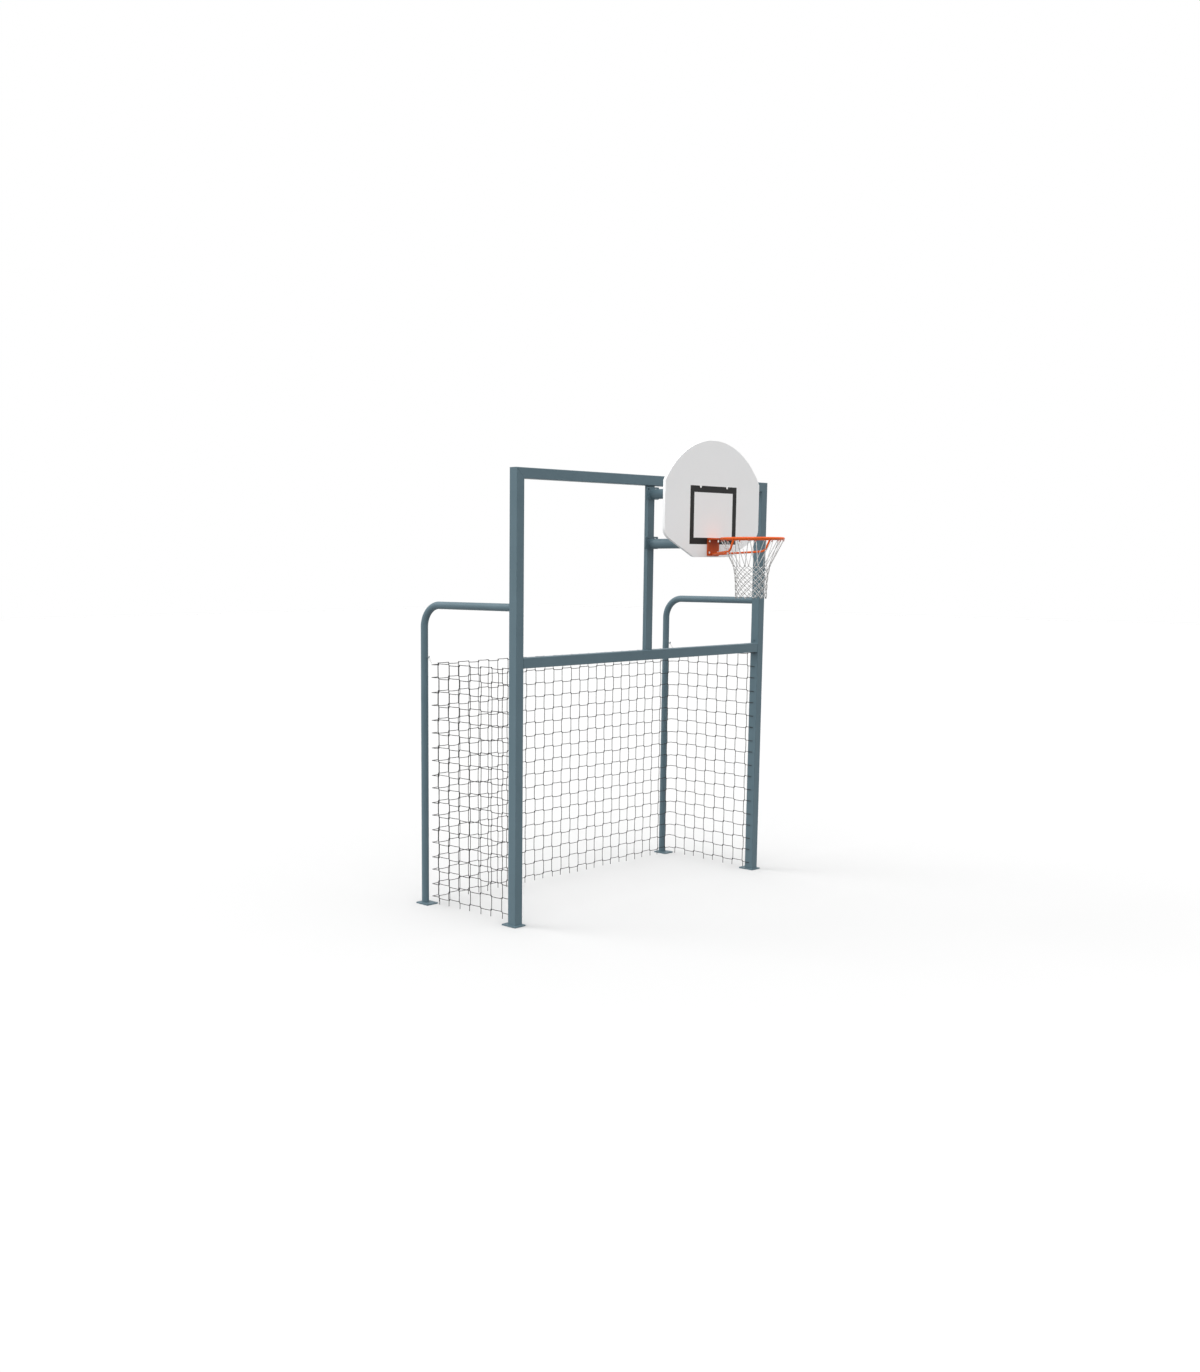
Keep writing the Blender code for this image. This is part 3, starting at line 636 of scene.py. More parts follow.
# %% Posts, beams and their welds
bead_size, mitre_bead = 0.0028, 0.0009
vent_hole_radius, vent_hole_height = 0.007, 2.10
for name, side in (("left_post", -1), ("right_post", 1)):
    tube, rows = square_tube(name, 2, 0, post_corner, (0, side))
    low, high = box[name]
    inner_x = low[0] if side > 0 else high[0]
    cut_hole(tube, (inner_x, centre_of[name][1], vent_hole_height), vent_hole_radius)
    even_normals(tube)
    weld_shapes.append(bead(rows[1], mitre_bead, (1, 0, -side)))
    weld_shapes.append(bead(outline_at(name, 2, low[2], post_corner), bead_size, z_axis))

for name, mitres in (("top_beam", (-1, 1)), ("crossbar", (0, 0))):
    even_normals(square_tube(name, 0, 2, post_corner, mitres)[0])
for end in (0, 1):
    loop = outline_at("crossbar", 0, box["crossbar"][end, 0], post_corner)
    weld_shapes.append(bead(loop, bead_size, x_axis))
    loop = outline_at("centre_post", 2, box["centre_post"][end, 2], centre_post_corner)
    weld_shapes.append(bead(loop, bead_size, z_axis))
even_normals(square_tube("centre_post", 2, 0, centre_post_corner)[0])
print("posts stand", round(box["right_post"][0, 0] - box["left_post"][1, 0], 3), "m apart")

# %% [markdown]
# ## Rear hoops
#
# Each hoop is one round tube, bent over a former. It rises from the rear foot, bends
# forwards and runs level into the back of its post. The route is two straight runs with an
# arc between them, and the round section follows it.

# %% Rear hoops
hoop_bend, hoop_bend_steps = 0.18, 28
hoop_sides, hoop_seam_points = 48, 96
for name in ("left_rear_hoop", "right_rear_hoop"):
    low, high = box[name]
    x, tube_radius = centre_of[name][0], (high[0] - low[0]) / 2
    back, top = high[1] - tube_radius, high[2] - tube_radius
    foot, front = (x, back, low[2]), (x, low[1], top)
    route = bent([foot, (x, back, top), front], hoop_bend, hoop_bend_steps)
    add_piece(name + "_tube", round_bar(route, tube_radius, hoop_sides, x_axis), frame_paint, [name])
    for end, second, normal in ((foot, y_axis, z_axis), (front, z_axis, y_axis)):
        seam = circle(end, x_axis, second, tube_radius, hoop_seam_points)
        weld_shapes.append(bead(seam, bead_size, normal))
print("hoops are", round(top, 3), "m high and reach back to", round(high[1], 3))

# %% [markdown]
# ## Plates
#
# Base plates, flanges, the plates behind the board and the rim's two plates are flat steel,
# cut to an outline with holes. A flat curve fills such an outline by itself and keeps its
# holes round. It is made a mesh, laid in its plane, and a small Bevel breaks its edges.

# %% Flat plates
plate_corner, base_corner = 0.008, 0.006
plate_edge, edge_steps = 0.0012, 3
bevel_above = radians(50)
merge_distance = 0.00001
plane_across = {1: Matrix.Rotation(radians(90), 4, "X"), 2: Matrix.Identity(4)}


def hole(x, y, radius):
    """Round outline in the plane of a plate."""
    return circle((x, y), (1, 0), (0, 1), radius, hole_sides)


def flat_mesh(name, outlines, thickness, place):
    """Filled outlines, as thick as asked, with the middle of the thickness in the plane of place."""
    curve = bpy.data.curves.new(name, "CURVE")
    curve.dimensions = "2D"
    curve.fill_mode = "BOTH"
    curve.extrude = thickness / 2
    for outline in outlines:
        spline = curve.splines.new("POLY")
        spline.points.add(len(outline) - 1)
        points = np.column_stack([outline, np.zeros(len(outline)), np.ones(len(outline))])
        spline.points.foreach_set("co", points.ravel())
        spline.use_cyclic_u = True
    item = linked(name, curve)
    mesh = applied(item)
    bpy.data.objects.remove(item)
    mesh.transform(place)
    merged = bmesh.new()
    merged.from_mesh(mesh)
    bmesh.ops.remove_doubles(merged, verts=merged.verts, dist=merge_distance)
    bmesh.ops.recalc_face_normals(merged, faces=merged.faces)
    merged.to_mesh(mesh)
    merged.free()
    return mesh


def add_plate(node, outlines, across, finish, suffix="_steel", edge=plate_edge):
    """A plate in the place of its solid. Across is the axis of its thickness: 1 upright, 2 level."""
    low, high = box[node][:, across]
    place = Matrix.Translation(np.eye(3)[across] * centre_of[node][across]) @ plane_across[across]
    piece = add_piece(node + suffix, flat_mesh(node + suffix, outlines, high - low, place), finish, [node])
    rounding = piece.modifiers.new("broken_edge", "BEVEL")
    rounding.width = edge
    rounding.segments = edge_steps
    rounding.limit_method = "ANGLE"
    rounding.angle_limit = bevel_above
    rounding.harden_normals = True


# %% Base plates
anchor_hole_radius = 0.007
anchor_hole_spacing = 0.07
anchor_hole_margin = 0.022
for side in ("left", "right"):
    for end, row, inwards in (("front", 1, -1), ("rear", 0, 1)):
        node = side + "_" + end + "_base_plate"
        hole_y = box[node][row, 1] + inwards * anchor_hole_margin
        holes = [hole(centre_of[node][0] + aside, hole_y, anchor_hole_radius)
                 for aside in (-anchor_hole_spacing / 2, anchor_hole_spacing / 2)]
        add_plate(node, [box_outline(node, (0, 1), base_corner)] + holes, 2, frame_paint)
print("base plates are", round(box[node][1, 2] - box[node][0, 2], 3), "m thick")

# %% [markdown]
# ## Arms
#
# Two round tubes hold the board clear of the frame. Each has a flange with two open slots
# against the centre post and a plate behind the board. The bolts that hold the board and the
# rim go through the plates at the arms' heads, so their holes are read from the bolts.

# %% Slots and bolt holes
flange_slot_length, flange_slot_height = 0.024, 0.012
flange_slot_spacing, flange_slot_margin = 0.096, 0.018
bolt_hole_radius = 0.0053


def slot(x, y):
    """Level hole with round ends: a circle whose right half lies further right, and left half left."""
    outline = hole(x, y, flange_slot_height / 2)
    reach = (flange_slot_length - flange_slot_height) / 2
    outline[:, 0] += np.where(outline[:, 0] > x, reach, -reach)
    return outline


def nodes_ending(*endings):
    return [node for node in box if node.endswith(endings)]


def bolt_holes(kind):
    """Round holes round every bolt of a kind, in the plane of the board."""
    return [hole(*centre_of[node][[0, 2]], bolt_hole_radius) for node in nodes_ending(kind)]


# %% Arms, flanges and head plates
arm_sides, arm_seam_points = 72, 120
for label, kind in (("upper", "board_bolt"), ("lower", "rim_bolt")):
    arm, flange, head = label + "_arm", label + "_arm_flange", label + "_arm_head_plate"
    x, _, z = centre_of[arm]
    back_y, front_y = box[arm][::-1, 1]
    arm_radius = (box[arm][1, 0] - box[arm][0, 0]) / 2
    line = straight(centre_of[arm], 1, front_y, back_y)
    add_piece(arm + "_tube", round_bar(line, arm_radius, arm_sides, z_axis), frame_paint, [arm])
    for y in (front_y, back_y):
        seam = circle((x, y, z), x_axis, z_axis, arm_radius, arm_seam_points)
        weld_shapes.append(bead(seam, bead_size, y_axis))
    slot_height = box[flange][1, 2] - flange_slot_margin
    slots = [slot(x, slot_height) for x in (-flange_slot_spacing / 2, flange_slot_spacing / 2)]
    add_plate(flange, [box_outline(flange, (0, 2), plate_corner)] + slots, 1, frame_paint)
    add_plate(head, [box_outline(head, (0, 2), plate_corner)] + bolt_holes(kind), 1, frame_paint)

welds = add_piece("frame_welds", joined(weld_shapes), frame_paint)
print("arms are", round(back_y - front_y, 3), "m long")
print(len(weld_shapes), "weld beads have", len(welds.data.polygons), "faces")

# %% [markdown]
# ## Board
#
# The board is a half moon: a level foot, sloping lower corners with wide roundings, upright
# sides and one round arch over the full width. The arch is a circle through the tops of
# both sides and the crown, so its radius follows from the width and the rise. The aiming
# rectangle is a separate film with square corners, as thin as a sticker, on the front face.

# %% Board
board_side_top, board_shoulder, board_foot = 0.578, 0.168, 0.47
shoulder_radius, foot_radius = 0.09, 0.10
bend_steps, arch_points = 14, 97
board_edge = 0.0018
low, high = box["backboard"]
board_half = (high[0] - low[0]) / 2
arch_rise = high[2] - low[2] - board_side_top
arch_radius = (board_half ** 2 + arch_rise ** 2) / (2 * arch_rise)
arch = top_arc((0, high[2] - arch_radius), arch_radius, board_half, arch_points)
foot, shoulder = (board_foot / 2, low[2]), (board_half, low[2] + board_shoulder)
side_top = (board_half, low[2] + board_side_top)
right = np.concatenate([bent([(0, low[2]), foot, shoulder], foot_radius, bend_steps)[1:-1],
                        bent([foot, shoulder, side_top], shoulder_radius, bend_steps)[1:-1]])
board = [np.concatenate([right, arch, right[::-1] * (-1, 1)])]
add_plate("backboard", board + bolt_holes("board_bolt") + bolt_holes("rim_bolt"), 1, board_coat,
          "_panel", board_edge)
print("board is", np.round(high - low, 3), "and its arch has a radius of", round(arch_radius, 3))

# %% Aiming rectangle
film_thickness = 0.00025
rectangle_half_width, rectangle_line = 0.295, 0.05
rectangle_low, rectangle_high = 2.94, 3.39
corners = np.array([(-1, 0), (1, 0), (1, 1), (-1, 1)])
height = rectangle_high - rectangle_low
outer = corners * (rectangle_half_width, height) + (0, rectangle_low)
inner = (corners * (rectangle_half_width - rectangle_line, height - 2 * rectangle_line)
         + (0, rectangle_low + rectangle_line))
film_place = Matrix.Translation((0, low[1] - film_thickness / 2, 0)) @ plane_across[1]
rectangle = flat_mesh("aiming_rectangle", [outer, inner], film_thickness, film_place)
add_piece("aiming_rectangle", rectangle, marking)
print("rectangle is", 2 * rectangle_half_width, "x", round(height, 3), "m")

# %% [markdown]
# ## Rim
#
# The rim is a ring of round bar. A level plate joins it to the upright plate that the bolts
# hold, and two round struts run out under it and turn up to its sides. Twelve wire staples
# under the ring carry the net. Ring, struts and staples are sweeps, each along its own line.

# %% Ring and its plates
ring_points, ring_sides, plate_front_points = 256, 28, 49
low, high = box["rim_ring"]
rim_centre = centre_of["rim_ring"]
bar_radius = (high[2] - low[2]) / 2
rim_radius = (high[0] - low[0]) / 2 - bar_radius
rim_line = circle(rim_centre, x_axis, y_axis, rim_radius, ring_points)
rim_bar = round_bar(rim_line, bar_radius, ring_sides, z_axis, closed=True)
add_piece("rim_ring_bar", rim_bar, rim_paint, ["rim_ring"])

back_plate = [box_outline("rim_back_plate", (0, 2), plate_corner)]
add_plate("rim_back_plate", back_plate + bolt_holes("rim_bolt"), 1, plate_paint)
plate_low, plate_high = box["rim_top_plate"]
front = top_arc(rim_centre[:2], rim_radius + bar_radius, plate_high[0], plate_front_points)
back = np.array([(plate_low[0], plate_high[1]), (plate_high[0], plate_high[1])])
add_plate("rim_top_plate", [np.concatenate([front, back])], 2, rim_paint)
print("ring:", round(2 * (rim_radius - bar_radius), 3), "m inside,", round(high[2], 3), "m high")

# %% Struts
strut_foot_spacing, strut_foot_rise = 0.026, 0.012
strut_bend_inset, strut_bend_back, strut_bend_drop = 0.009, 0.042, 0.096
strut_bend_radius, strut_bend_steps = 0.05, 14
strut_radius, strut_sides, strut_seam_points = 0.008, 24, 40
rim_bead, plate_bead, rim_ripple = 0.0018, 0.0016, 0.0024
rim_welds = []
_, plate_face, plate_foot = box["rim_back_plate"][0]
for node, side in (("left_rim_strut", -1), ("right_rim_strut", 1)):
    foot = np.array([side * strut_foot_spacing / 2, plate_face, plate_foot + strut_foot_rise])
    bend = rim_centre + (side * (rim_radius - strut_bend_inset), strut_bend_back, -strut_bend_drop)
    seat = rim_centre + (side * rim_radius, 0, 0)
    top = seat - unit(seat - bend) * bar_radius
    route = bent([foot, bend, top], strut_bend_radius, strut_bend_steps)
    add_piece(node + "_bar", round_bar(route, strut_radius, strut_sides, x_axis), rim_paint, [node])
    for end in (foot, top):
        ahead = unit(bend - end)
        first = unit(np.cross(ahead, z_axis))
        seam = circle(end, first, np.cross(ahead, first), strut_radius, strut_seam_points)
        rim_welds.append(bead(seam, rim_bead, ahead, ripple=rim_ripple))
print("struts drop", strut_bend_drop, "m below the ring's centre")

# %% Net hooks
hook_count = 12
hook_wire, hook_opening, hook_drop, hook_sunk = 0.004, 0.006, 0.0125, 0.001
hook_sides, hook_seam_points, hook_bend_steps = 12, 24, 8
hook_bead, hook_ripple, hook_seam_rise = 0.0009, 0.002, 0.0015
half = (hook_opening + hook_wire) / 2
hook_bend = half * 0.8
low_wire = hook_wire / 2 - hook_drop


def outwards(angle):
    """Level directions (cos a, sin a, 0), away from the rim's axis."""
    return np.insert(spokes(angle), 2, 0, axis=1)


hook_nodes = [f"rim_net_hook_{index + 1:02d}" for index in range(hook_count)]
hook_spot = np.array([centre_of[node] for node in hook_nodes]) - rim_centre
hook_angle = np.arctan2(hook_spot[:, 1], hook_spot[:, 0])
outward = outwards(hook_angle)
sideways = np.cross(z_axis, outward)
hook_root = rim_centre + outward * rim_radius - (0, 0, bar_radius)
staple = bent([(-half, 0, hook_sunk), (-half, 0, low_wire), (half, 0, low_wire), (half, 0, hook_sunk)],
              hook_bend, hook_bend_steps)
for node, root, out, aside in zip(hook_nodes, hook_root, outward, sideways):
    route = root + staple[:, :1] * out + staple[:, 2:] * z_axis
    add_piece(node + "_wire", round_bar(route, hook_wire / 2, hook_sides, aside), rim_paint, [node])
    for leg in (-half, half):
        spot = root + out * leg + z_axis * hook_seam_rise
        seam = circle(spot, out, aside, hook_wire / 2, hook_seam_points)
        rim_welds.append(bead(seam, hook_bead, z_axis, ripple=hook_ripple))
print(hook_count, "hooks,", hook_drop, "m deep")

# %% Welds of the rim
for line, height, size in ((front, plate_low[2], plate_bead), (front, plate_high[2], plate_bead),
                           (back, plate_low[2], rim_bead)):
    seam = np.insert(line, 2, height, axis=1)
    rim_welds.append(bead(seam, size, z_axis, closed=False, ripple=rim_ripple))
welds = add_piece("rim_welds", joined(rim_welds), rim_paint)
print(len(rim_welds), "beads with", len(welds.data.polygons), "faces")

# %% [markdown]
# ## Basket net
#
# The net hangs by twelve long loops, one in each hook. Each loop's two legs run down to the
# neck, where neighbouring legs are knotted, and below it the cords go on as two families of
# helices, one turning left and one right, with a knot at every crossing. All of them lie on
# one funnel, so the radius is a function of the height alone: a straight wall down to the
# neck, and below it one that draws in less and less, blended by a rounded knee. The hooks at
# the ring's two sides stand a little before the struts, so their loops lean, and only their
# feet are where even steps would put them. Cloth simulation would make the meshes sag, but
# the weight of the cord keeps a real net of this kind nearly straight.

# %% Funnel
basket_cord_radius, basket_cord_sides = 0.0027, 10
loop_clearance = 0.0003
wire_top = rim_centre[2] - bar_radius - hook_drop + hook_wire
loop_height = float(wire_top + loop_clearance + basket_cord_radius)
loop_length, tube_length = 0.193, 0.243
neck_radius, end_radius = 0.139, 0.1165
narrowing_depth = 0.088
knee = 0.003
neck_height = loop_height - loop_length


def funnel(height):
    """Smooth maximum of the straight wall above the neck and r = e + (n - e) exp(-depth / d) below."""
    steep = neck_radius + (rim_radius - neck_radius) * (height - neck_height) / loop_length
    below = np.minimum(height - neck_height, 0)
    slow = end_radius + (neck_radius - end_radius) * np.exp(below / narrowing_depth)
    return (steep + slow) / 2 + np.sqrt(((steep - slow) / 2) ** 2 + knee ** 2)


def round_rim(angle, radius, height):
    """Points about the rim's axis: (x + r cos a, y + r sin a, h)."""
    return np.stack([rim_centre[0] + radius * np.cos(angle), rim_centre[1] + radius * np.sin(angle),
                     np.broadcast_to(height, np.shape(angle))], axis=-1)


# %% Loops
half_top = 0.007
loop_bend, loop_bend_steps = 0.005, 8
share_over_hook = 0.1
cord_step = 0.003
half_pitch = pi / hook_count
leg_foot = (neck_radius * np.cos(half_pitch), neck_radius * np.sin(half_pitch), neck_height)
template = bent([leg_foot * np.array([1, -1, 1]), (rim_radius, -half_top, loop_height),
                 (rim_radius, half_top, loop_height), leg_foot], loop_bend, loop_bend_steps)
template = evenly(template, cord_step, closed=False)
turn = np.arctan2(template[:, 1], template[:, 0])
share = np.clip((loop_height - template[:, 2]) / loop_length, 0, 1)
on_hook = np.hypot(template[:, 0], template[:, 1])
loop_radius = np.where(share < share_over_hook, on_hook, funnel(template[:, 2]))
even_angle = np.round(hook_angle / (2 * half_pitch)) * 2 * half_pitch
lean = (hook_angle - even_angle)[:, None] * (1 - share)
loops = round_rim(even_angle[:, None] + turn + lean, loop_radius, template[:, 2])
print("loops:", loops.shape[0], "with", loops.shape[1], "points each")

# %% Helices
mesh_rows, row_length = 8, 0.045
half_gap = 0.0011
samples = np.linspace(0, mesh_rows, int(mesh_rows * row_length / cord_step) + 1)
helix_height = neck_height - tube_length * samples / mesh_rows
starts = (np.arange(hook_count) + 0.5) * 2 * half_pitch
helices = np.concatenate([round_rim(starts[:, None] + way * samples * half_pitch,
                                    funnel(helix_height) + way * half_gap, helix_height)
                          for way in (-1, 1)])
print("helices:", helices.shape[0], "down to", round(neck_height - tube_length, 3), "m")

# %% [markdown]
# Every knot is a small trefoil: a closed line that goes three times over and under itself.
# A ball would be simpler, but it looks like a bead on a string. The trefoil has the lumpy,
# crossed look of pulled cord for few faces.

# %% Basket knots
knot_scale, knot_points = 0.0016, 24
knot_cord_radius, knot_sides = 0.0021, 6
knot_turn = np.linspace(0, 2 * pi, knot_points, endpoint=False)
trefoil = knot_scale * np.stack([-np.sin(3 * knot_turn), np.sin(knot_turn) + 2 * np.sin(2 * knot_turn),
                                 np.cos(knot_turn) - 2 * np.cos(2 * knot_turn)], axis=1)

row = np.arange(mesh_rows + 1)[:, None]
knot_angle = ((np.arange(hook_count) + 0.5 + row / 2) * 2 * half_pitch).ravel()
knot_height = np.repeat(neck_height - tube_length * row.ravel() / mesh_rows, hook_count)
knot_places = round_rim(knot_angle, funnel(knot_height), knot_height)
knot_outward = outwards(knot_angle)
knot_axes = np.stack([knot_outward, np.cross(z_axis, knot_outward),
                      np.broadcast_to(z_axis, knot_outward.shape)], axis=1)
knot_shape = swept(knot_places[:, None] + trefoil @ knot_axes, ring(knot_cord_radius, knot_sides),
                   knot_outward[:, None], closed=True)
print(len(knot_places), "knots")

# %% Loose ends and the finished net
chance = np.random.default_rng(11)
tail_count = 2 * hook_count
tail_radius, tail_points, tail_sides = 0.0018, 6, 8
shortest_tail, longest_tail = 0.005, 0.009
least_spread, most_spread = 0.2, 0.5
tail_lift = 0.15
tail_root = np.repeat(knot_places[-hook_count:], 2, axis=0)
tail_out = np.repeat(knot_outward[-hook_count:], 2, axis=0)
tail_side = np.cross(z_axis, tail_out) * np.tile([-1, 1], hook_count)[:, None]
tail_length = chance.uniform(shortest_tail, longest_tail, (tail_count, 1, 1))
fall = np.linspace(0, 1, tail_points)[None, :, None]
spread = chance.uniform(least_spread, most_spread, (tail_count, 1, 1))
tail_way = spread * fall * tail_side[:, None] + tail_lift * fall ** 2 * tail_out[:, None] - fall * z_axis
tails = tail_root[:, None] + tail_length * tail_way

cord_ring = ring(basket_cord_radius, basket_cord_sides)
helix_reference = unit((helices - rim_centre) * (1, 1, 0))
cords = joined([swept(loops, cord_ring, outward[:, None]), swept(helices, cord_ring, helix_reference),
                swept(tails, ring(tail_radius, tail_sides), tail_out[:, None])])
basket = add_piece("basket_net_cord", cords, white_cord, ["basket_net"], sharp_on_cord)
add_piece("basket_net_knots", knot_shape, knot_cord_painted_shade, sharp_above=sharp_on_cord)
print(tail_count, "loose ends;", len(basket.data.polygons), "faces in the cords")

# %% [markdown]
# ## Bolts and nuts
#
# Four hexagon bolts hold the rim, and two round-headed ones the top of the board. All are
# turned surfaces: a radius and a height for each row, and an angle for each column. On a
# hexagon head the radius follows the six flats, and a 30 degree cone cuts the corners. On
# the thread the radius rises and falls with height minus pitch times turns, which winds one
# helix round the shank. The bolts lie along Y, with their heads towards the field.

# %% Turned surfaces
flat_sides = 48
column_angle = np.arange(flat_sides) * 2 * pi / flat_sides


def in_rows(*values):
    """One array of rows from single numbers, columns of numbers and whole rows."""
    rows = [np.broadcast_to(value, (len(np.atleast_2d(value)), flat_sides)) for value in values]
    return np.concatenate(rows)


def spun(radius, height, centre_low, centre_high):
    """Turned surface (r cos a, r sin a, h), closed on the axis below and above."""
    grid = np.stack([radius * np.cos(column_angle), radius * np.sin(column_angle), height], axis=-1)[None]
    ends = np.array([[(0, 0, centre_low), (0, 0, centre_high)]], float)
    return skin(grid, False, ends, np.cumsum(np.ones((1, len(radius))), axis=1))


# %% Heads and threads
bolt_radius = 0.005
thread_pitch, thread_depth, thread_length, thread_steps = 0.0015, 0.0009, 0.018, 10
head_height, head_flat = 0.0064, 0.0085
face_share, inner_share = 0.95, 0.6
dome_radius, dome_rise, dome_rows = 0.011, 0.005, 10
crown_angle = 0.48 * pi


def hex_body(low, high, cut_low):
    """A hexagon with its corners cut by a cone at the top, and at the bottom too if asked.

    The distance to a flat is the half width over the cosine of the angle to that flat."""
    flats = head_flat / np.cos((column_angle + pi / 6) % (pi / 3) - pi / 6)
    face = face_share * head_flat
    drop = (flats - face) * np.tan(radians(30))
    radius = in_rows(face * inner_share, face, flats, flats, face, face * inner_share)
    return spun(radius, in_rows(low, low, low + drop * cut_low, high - drop, high, high), low, high)


def threaded_shank(start, end):
    """From start down to end: plain first, then a helical thread over the last part."""
    thread_top, thread_foot = end + thread_length, bolt_radius - thread_depth
    fine = np.arange(end + thread_pitch / 2, thread_top, thread_pitch / thread_steps)[:, None]
    phase = (fine / thread_pitch - column_angle / (2 * pi)) % 1
    thread = bolt_radius - thread_depth * np.abs(2 * phase - 1)
    radius = in_rows(thread_foot, thread, bolt_radius, bolt_radius)
    return spun(radius, in_rows(end, fine, thread_top, start), end, start)


def dome():
    """Round head: the profile is a quarter of an ellipse from the rim up to the crown."""
    angle = np.linspace(0, crown_angle, dome_rows)[:, None]
    radius = in_rows(dome_radius * inner_share, dome_radius * np.cos(angle))
    return spun(radius, in_rows(0.0, dome_rise * np.sin(angle)), 0.0, dome_rise)


def towards_field(shape, x, y, z):
    """Lays an upright shape along Y, with its top at the field side, at a place."""
    return shape._replace(points=shape.points[:, [0, 2, 1]] * (1, -1, 1) + (x, y, z))


# %% Bolts and nuts in place
shank_overlap = 0.001
for node in nodes_ending("rim_bolt", "board_bolt"):
    (x, _, z), low, high = centre_of[node], *box[node]
    is_hex = node.endswith("rim_bolt")
    head = hex_body(0, head_height, 0) if is_hex else dome()
    seat = low[1] + (head_height if is_hex else dome_rise)
    bolt = joined([head, threaded_shank(shank_overlap, seat - high[1])])
    add_piece(node + "_zinc", towards_field(bolt, x, seat, z), bright_zinc, [node], sharp_on_hardware)
for node in nodes_ending("rim_nut", "board_nut"):
    half = (box[node][1, 1] - box[node][0, 1]) / 2
    nut = towards_field(hex_body(-half, half, 1), *centre_of[node])
    add_piece(node + "_zinc", nut, bright_zinc, [node], sharp_on_hardware)
print("bolts end at", round(box["left_board_bolt"][1, 1], 4))

# %% [markdown]
# ## Goal net
#
# The goal net has two sides and a back and no roof. Its cords make square meshes, but no
# cord is straight: at every knot a level cord steps up or down and an upright one steps
# aside, each the other way at the next knot. A square wave with soft flanks does that, as
# the hyperbolic tangent of a sine. Short ends stand out past the outer uprights, where the
# side and the back meet at the rear corners, and the uprights hang a little below the last
# row. Each panel is drawn flat, as an array of cords, and then laid along its line on the
# ground plan.

# %% Steps of the cords
flank, overshoot = 9.0, 0.8


def soft_square(position, cell):
    """+1 and -1 by turns, from cell to cell.

    It is tanh(s) (1 + overshoot / cosh(s)^2), where s = flank sin(pi p / cell)."""
    swing = flank * np.sin(pi * position / cell)
    return np.tanh(swing) * (1 + overshoot / np.cosh(swing) ** 2)


# %% Net panel
net_cord_radius, net_cord_sides = 0.0027, 6
net_rows, net_pitch, net_low = 18, 0.1128, 0.0704
level_step, upright_step = 0.005, 0.0045
points_per_mesh, points_per_row = 12, 10
sag_depth = 0.0018
drift_step, drift_share = 0.0006, 0.25
weave_depth, level_weave, upright_weave = 0.0012, 9, 11
foot_range = (0.046, 0.056)
net_knot_lean, net_knot_half = -0.35, 0.0085
net_knot_profile = np.array([0.0022, 0.0034, 0.0036, 0.0034, 0.0022])


def net_panel(start, end, first, cells, cell, phase, seed):
    """Shapes of the cords and knots of a panel from start to end on the ground plan.

    First is the distance of the first upright from the start, and phase is the sign of the
    step in the first cell of the lowest row."""
    start, end = np.array(start), np.array(end)
    length = np.linalg.norm(end - start)
    direction = (end - start) / length
    normal = np.array([direction[1], -direction[0], 0.0])
    chance = np.random.default_rng(seed)

    def laid(distance, height, proud):
        """Points at a distance along the panel, at a height, and proud of its plane."""
        ground = start + (end - start) * (distance / length)[..., None]
        return np.concatenate([ground, height[..., None]], axis=-1) + normal * proud[..., None]

    rows = net_low + net_pitch * np.arange(net_rows)[:, None]
    row_sign = phase * (-1.0) ** np.arange(net_rows)[:, None]
    count = int(length / cell * points_per_mesh)
    distance = np.broadcast_to(np.linspace(0, length, count), (net_rows, count))
    drift = chance.normal(0, drift_step, distance.shape).cumsum(axis=1)
    drift -= np.linspace(0, 1, count) * drift[:, -1:]
    step = level_step * row_sign * soft_square(distance - first, cell)
    sag = sag_depth * np.abs(np.sin(pi * (distance - first) / cell))
    level = laid(distance, rows + step - sag + drift_share * drift,
                 weave_depth * np.sin(distance * level_weave + rows))

    column = first + cell * np.arange(cells + 1)[:, None]
    column_sign = phase * (-1.0) ** np.arange(cells + 1)[:, None]
    foot = net_low - chance.uniform(*foot_range, (cells + 1, 1))
    height = foot + (rows[-1] - foot) * np.linspace(0, 1, net_rows * points_per_row)
    aside = column_sign * soft_square(height - net_low, net_pitch) * upright_step
    upright = laid(column + aside, height, weave_depth * np.sin(height * upright_weave + column))

    knot_distance, knot_row = [grid.ravel() for grid in np.meshgrid(column, rows)]
    knots = laid(knot_distance, knot_row, np.zeros(len(knot_row)))
    along = np.linspace(-net_knot_half, net_knot_half, len(net_knot_profile))[:, None]
    spine = knots[:, None] + along * unit(np.array([net_knot_lean, 0, 1.0]))
    cord = ring(net_cord_radius, net_cord_sides)
    shapes = [swept(level, cord, z_axis), swept(upright, cord, normal),
              swept(spine, ring(net_knot_profile, net_cord_sides), normal)]
    return joined(shapes), len(knots)


# %% The three panels
back_y = centre_of["back_net"][1]
corner_x = centre_of["left_rear_hoop"][0]
front_x = box["left_side_net"][1, 0] - net_cord_radius
front_y = box["left_side_net"][0, 1]
back_meshes, side_meshes = (0.070, 26, 0.1133), (0.075, 7, 0.1169)
panels = (("back_net", (corner_x, back_y), (-corner_x, back_y), back_meshes, -1, 3),
          ("left_side_net", (front_x, front_y), (corner_x, back_y), side_meshes, -1, 5),
          ("right_side_net", (-front_x, front_y), (-corner_x, back_y), side_meshes, 1, 7))
for node, start, end, meshes, phase, seed in panels:
    shape, knots = net_panel(start, end, *meshes, phase, seed)
    piece = add_piece(node + "_cord", shape, grey_cord, [node], sharp_on_cord)
    print(node, "has", knots, "knots and", len(piece.data.polygons), "faces")

# %% [markdown]
# ## Corner hooks and ties
#
# A hook on the front of each hoop carries the net's rear corner by a short tie, a loop of
# cord over the hook and under the first row. Both are sweeps along short bent lines.

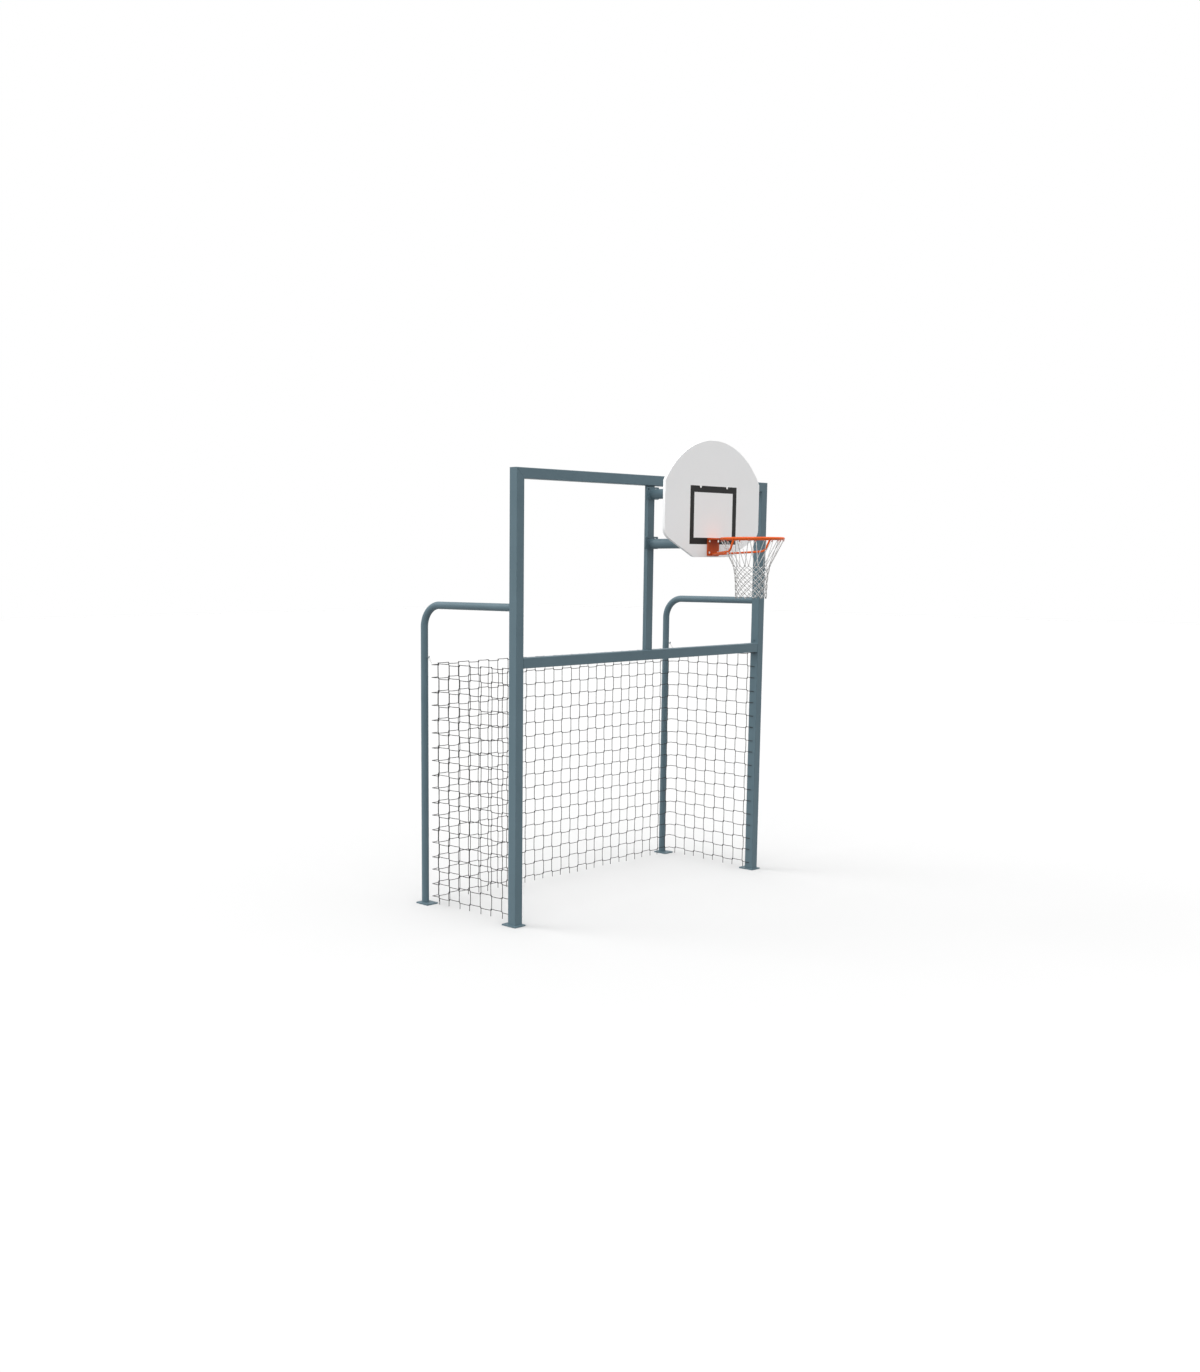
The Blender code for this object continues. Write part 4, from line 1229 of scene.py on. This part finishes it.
# %% Hooks and ties
wire_sides, wire_bend, wire_bend_steps = 20, 1.2, 10
tie_radius, tie_sides, tie_points = 0.0015, 8, 48
tie_narrowing = 0.2
angle = np.linspace(0, 2 * pi, tie_points, endpoint=False)
lift = np.sin(angle)
tie_line = np.stack([np.cos(angle) * (1 - tie_narrowing + tie_narrowing * lift), lift, lift], axis=1)
for side in ("left", "right"):
    node = side + "_corner_hook"
    low, high = box[node]
    wire = (high[0] - low[0]) / 2
    x, turn_y, level_z = centre_of[node][0], low[1] + wire, low[2] + wire
    route = bent([(x, high[1], level_z), (x, turn_y, level_z), (x, turn_y, high[2])],
                 wire * wire_bend, wire_bend_steps)
    add_piece(node + "_wire", round_bar(route, wire, wire_sides, x_axis), frame_paint, [node])

    node = side + "_corner_tie"
    low, high = box[node]
    loop = centre_of[node] + ((high - low) / 2 - tie_radius) * tie_line
    tie = round_bar(loop, tie_radius, tie_sides, y_axis, closed=True)
    add_piece(node + "_cord", tie, white_cord, [node], sharp_on_cord)
print("ties reach from", np.round(low[2], 3), "to", np.round(high[2], 3))

# %% [markdown]
# ## Floor and light
#
# The goal stands on a white studio floor that runs into a white background. If the floor
# were lit until it is white, the goal would be far too bright, so the camera sees it with a
# little light of its own added to what falls on it: open floor reaches white, and the soft
# shadow of the goal stays. The background is white for the camera and for reflections only.
#
# The goal itself is lit by the sky. It is the same all round, much brighter overhead, and
# half way up it has a belt that leans to the left and a little to the front. A wide soft lamp
# from behind on the left throws the shadow to the right. A real floor would also throw light
# back up. How much comes from where is easier to set in the lower half of the sky, where
# light rises from behind and a little from the left. So the floor is hidden from the rays
# that carry such light, and it casts no shadow. What falls on the floor itself is the even
# sky once, the belt for two thirds and the light overhead for half, which are their
# integrals over the hemisphere, and the lamp.

# %% Key light and sky
key_strength, key_width = 0.8, radians(28)
key_direction = unit(np.array([-0.54, 0.77, 0.74]))
sky_even, sky_zenith = 0.70, 1.66
sky_belt, belt_to_left, belt_to_front = 0.11, 0.61, 0.34
below_left, below_behind = 0.22, 0.62
horizon_width = 0.001
light_on_floor = sky_even + sky_belt * 2 / 3 + sky_zenith / 2 + key_strength * key_direction[2] / pi

key_light = bpy.data.lights.new("key_from_behind_left", "SUN")
key_light.energy = key_strength
key_light.angle = key_width
key = linked("key_from_behind_left", key_light)
key.rotation_euler = Vector(key_direction).to_track_quat("Z", "Y").to_euler()

world = bpy.data.worlds.new("studio")
bpy.context.scene.world = world
sky = Finish(world)
right, away, up = sky.parts(sky.node("ShaderNodeTexCoord", output="Generated"))
rise = sky.stretch(up, 0.0, 1.0)
belt = rise * (1 - rise) * 4 * (sky_belt - right * belt_to_left - away * belt_to_front)
above = sky.stretch(rise, 0.0, horizon_width)
below = (1 - right) * (below_left / 2) + (1 + away) * (below_behind / 2)
dome_light = (belt + rise ** 2 * sky_zenith + sky_even) * above + below * (1 - above)
shown = sky.ray_is("Camera", "Glossy", "Transmission")
background = sky.tree.nodes["Background"]
sky.fill(background.inputs["Strength"], dome_light * (1 - shown) + shown)
background.inputs["Color"].default_value = tone(1, 1, 1)
bpy.context.scene.view_settings.view_transform = "Standard"
print("open floor receives", round(light_on_floor, 2), "times the light of a white background")

# %% Floor
floor_half = 60.0
floor_tone = 0.575
open_floor = 1.015
floor_lift = open_floor - floor_tone * light_on_floor
corners = np.array([(-1, -1), (1, -1), (1, 1), (-1, 1)], float) * floor_half
floor_mesh = bpy.data.meshes.new("floor")
floor_mesh.from_pydata([(x, y, 0.0) for x, y in corners], [], [(0, 1, 2, 3)])
floor = linked("floor", floor_mesh)
floor.visible_diffuse = False
floor.visible_shadow = False
ground = new_finish("studio_floor")
shown = ground.ray_is("Camera", "Glossy")
glow = ground.node("ShaderNodeEmission", values={"Strength": shown * floor_lift})
matt = ground.node("ShaderNodeBsdfDiffuse", values={"Color": tone(floor_tone, floor_tone, floor_tone)})
both = ground.node("ShaderNodeAddShader", values={0: matt, 1: glow})
ground.fill(ground.tree.nodes["Material Output"].inputs["Surface"], both)
floor_mesh.materials.append(ground.owner)
print("floor lift", round(floor_lift, 3))
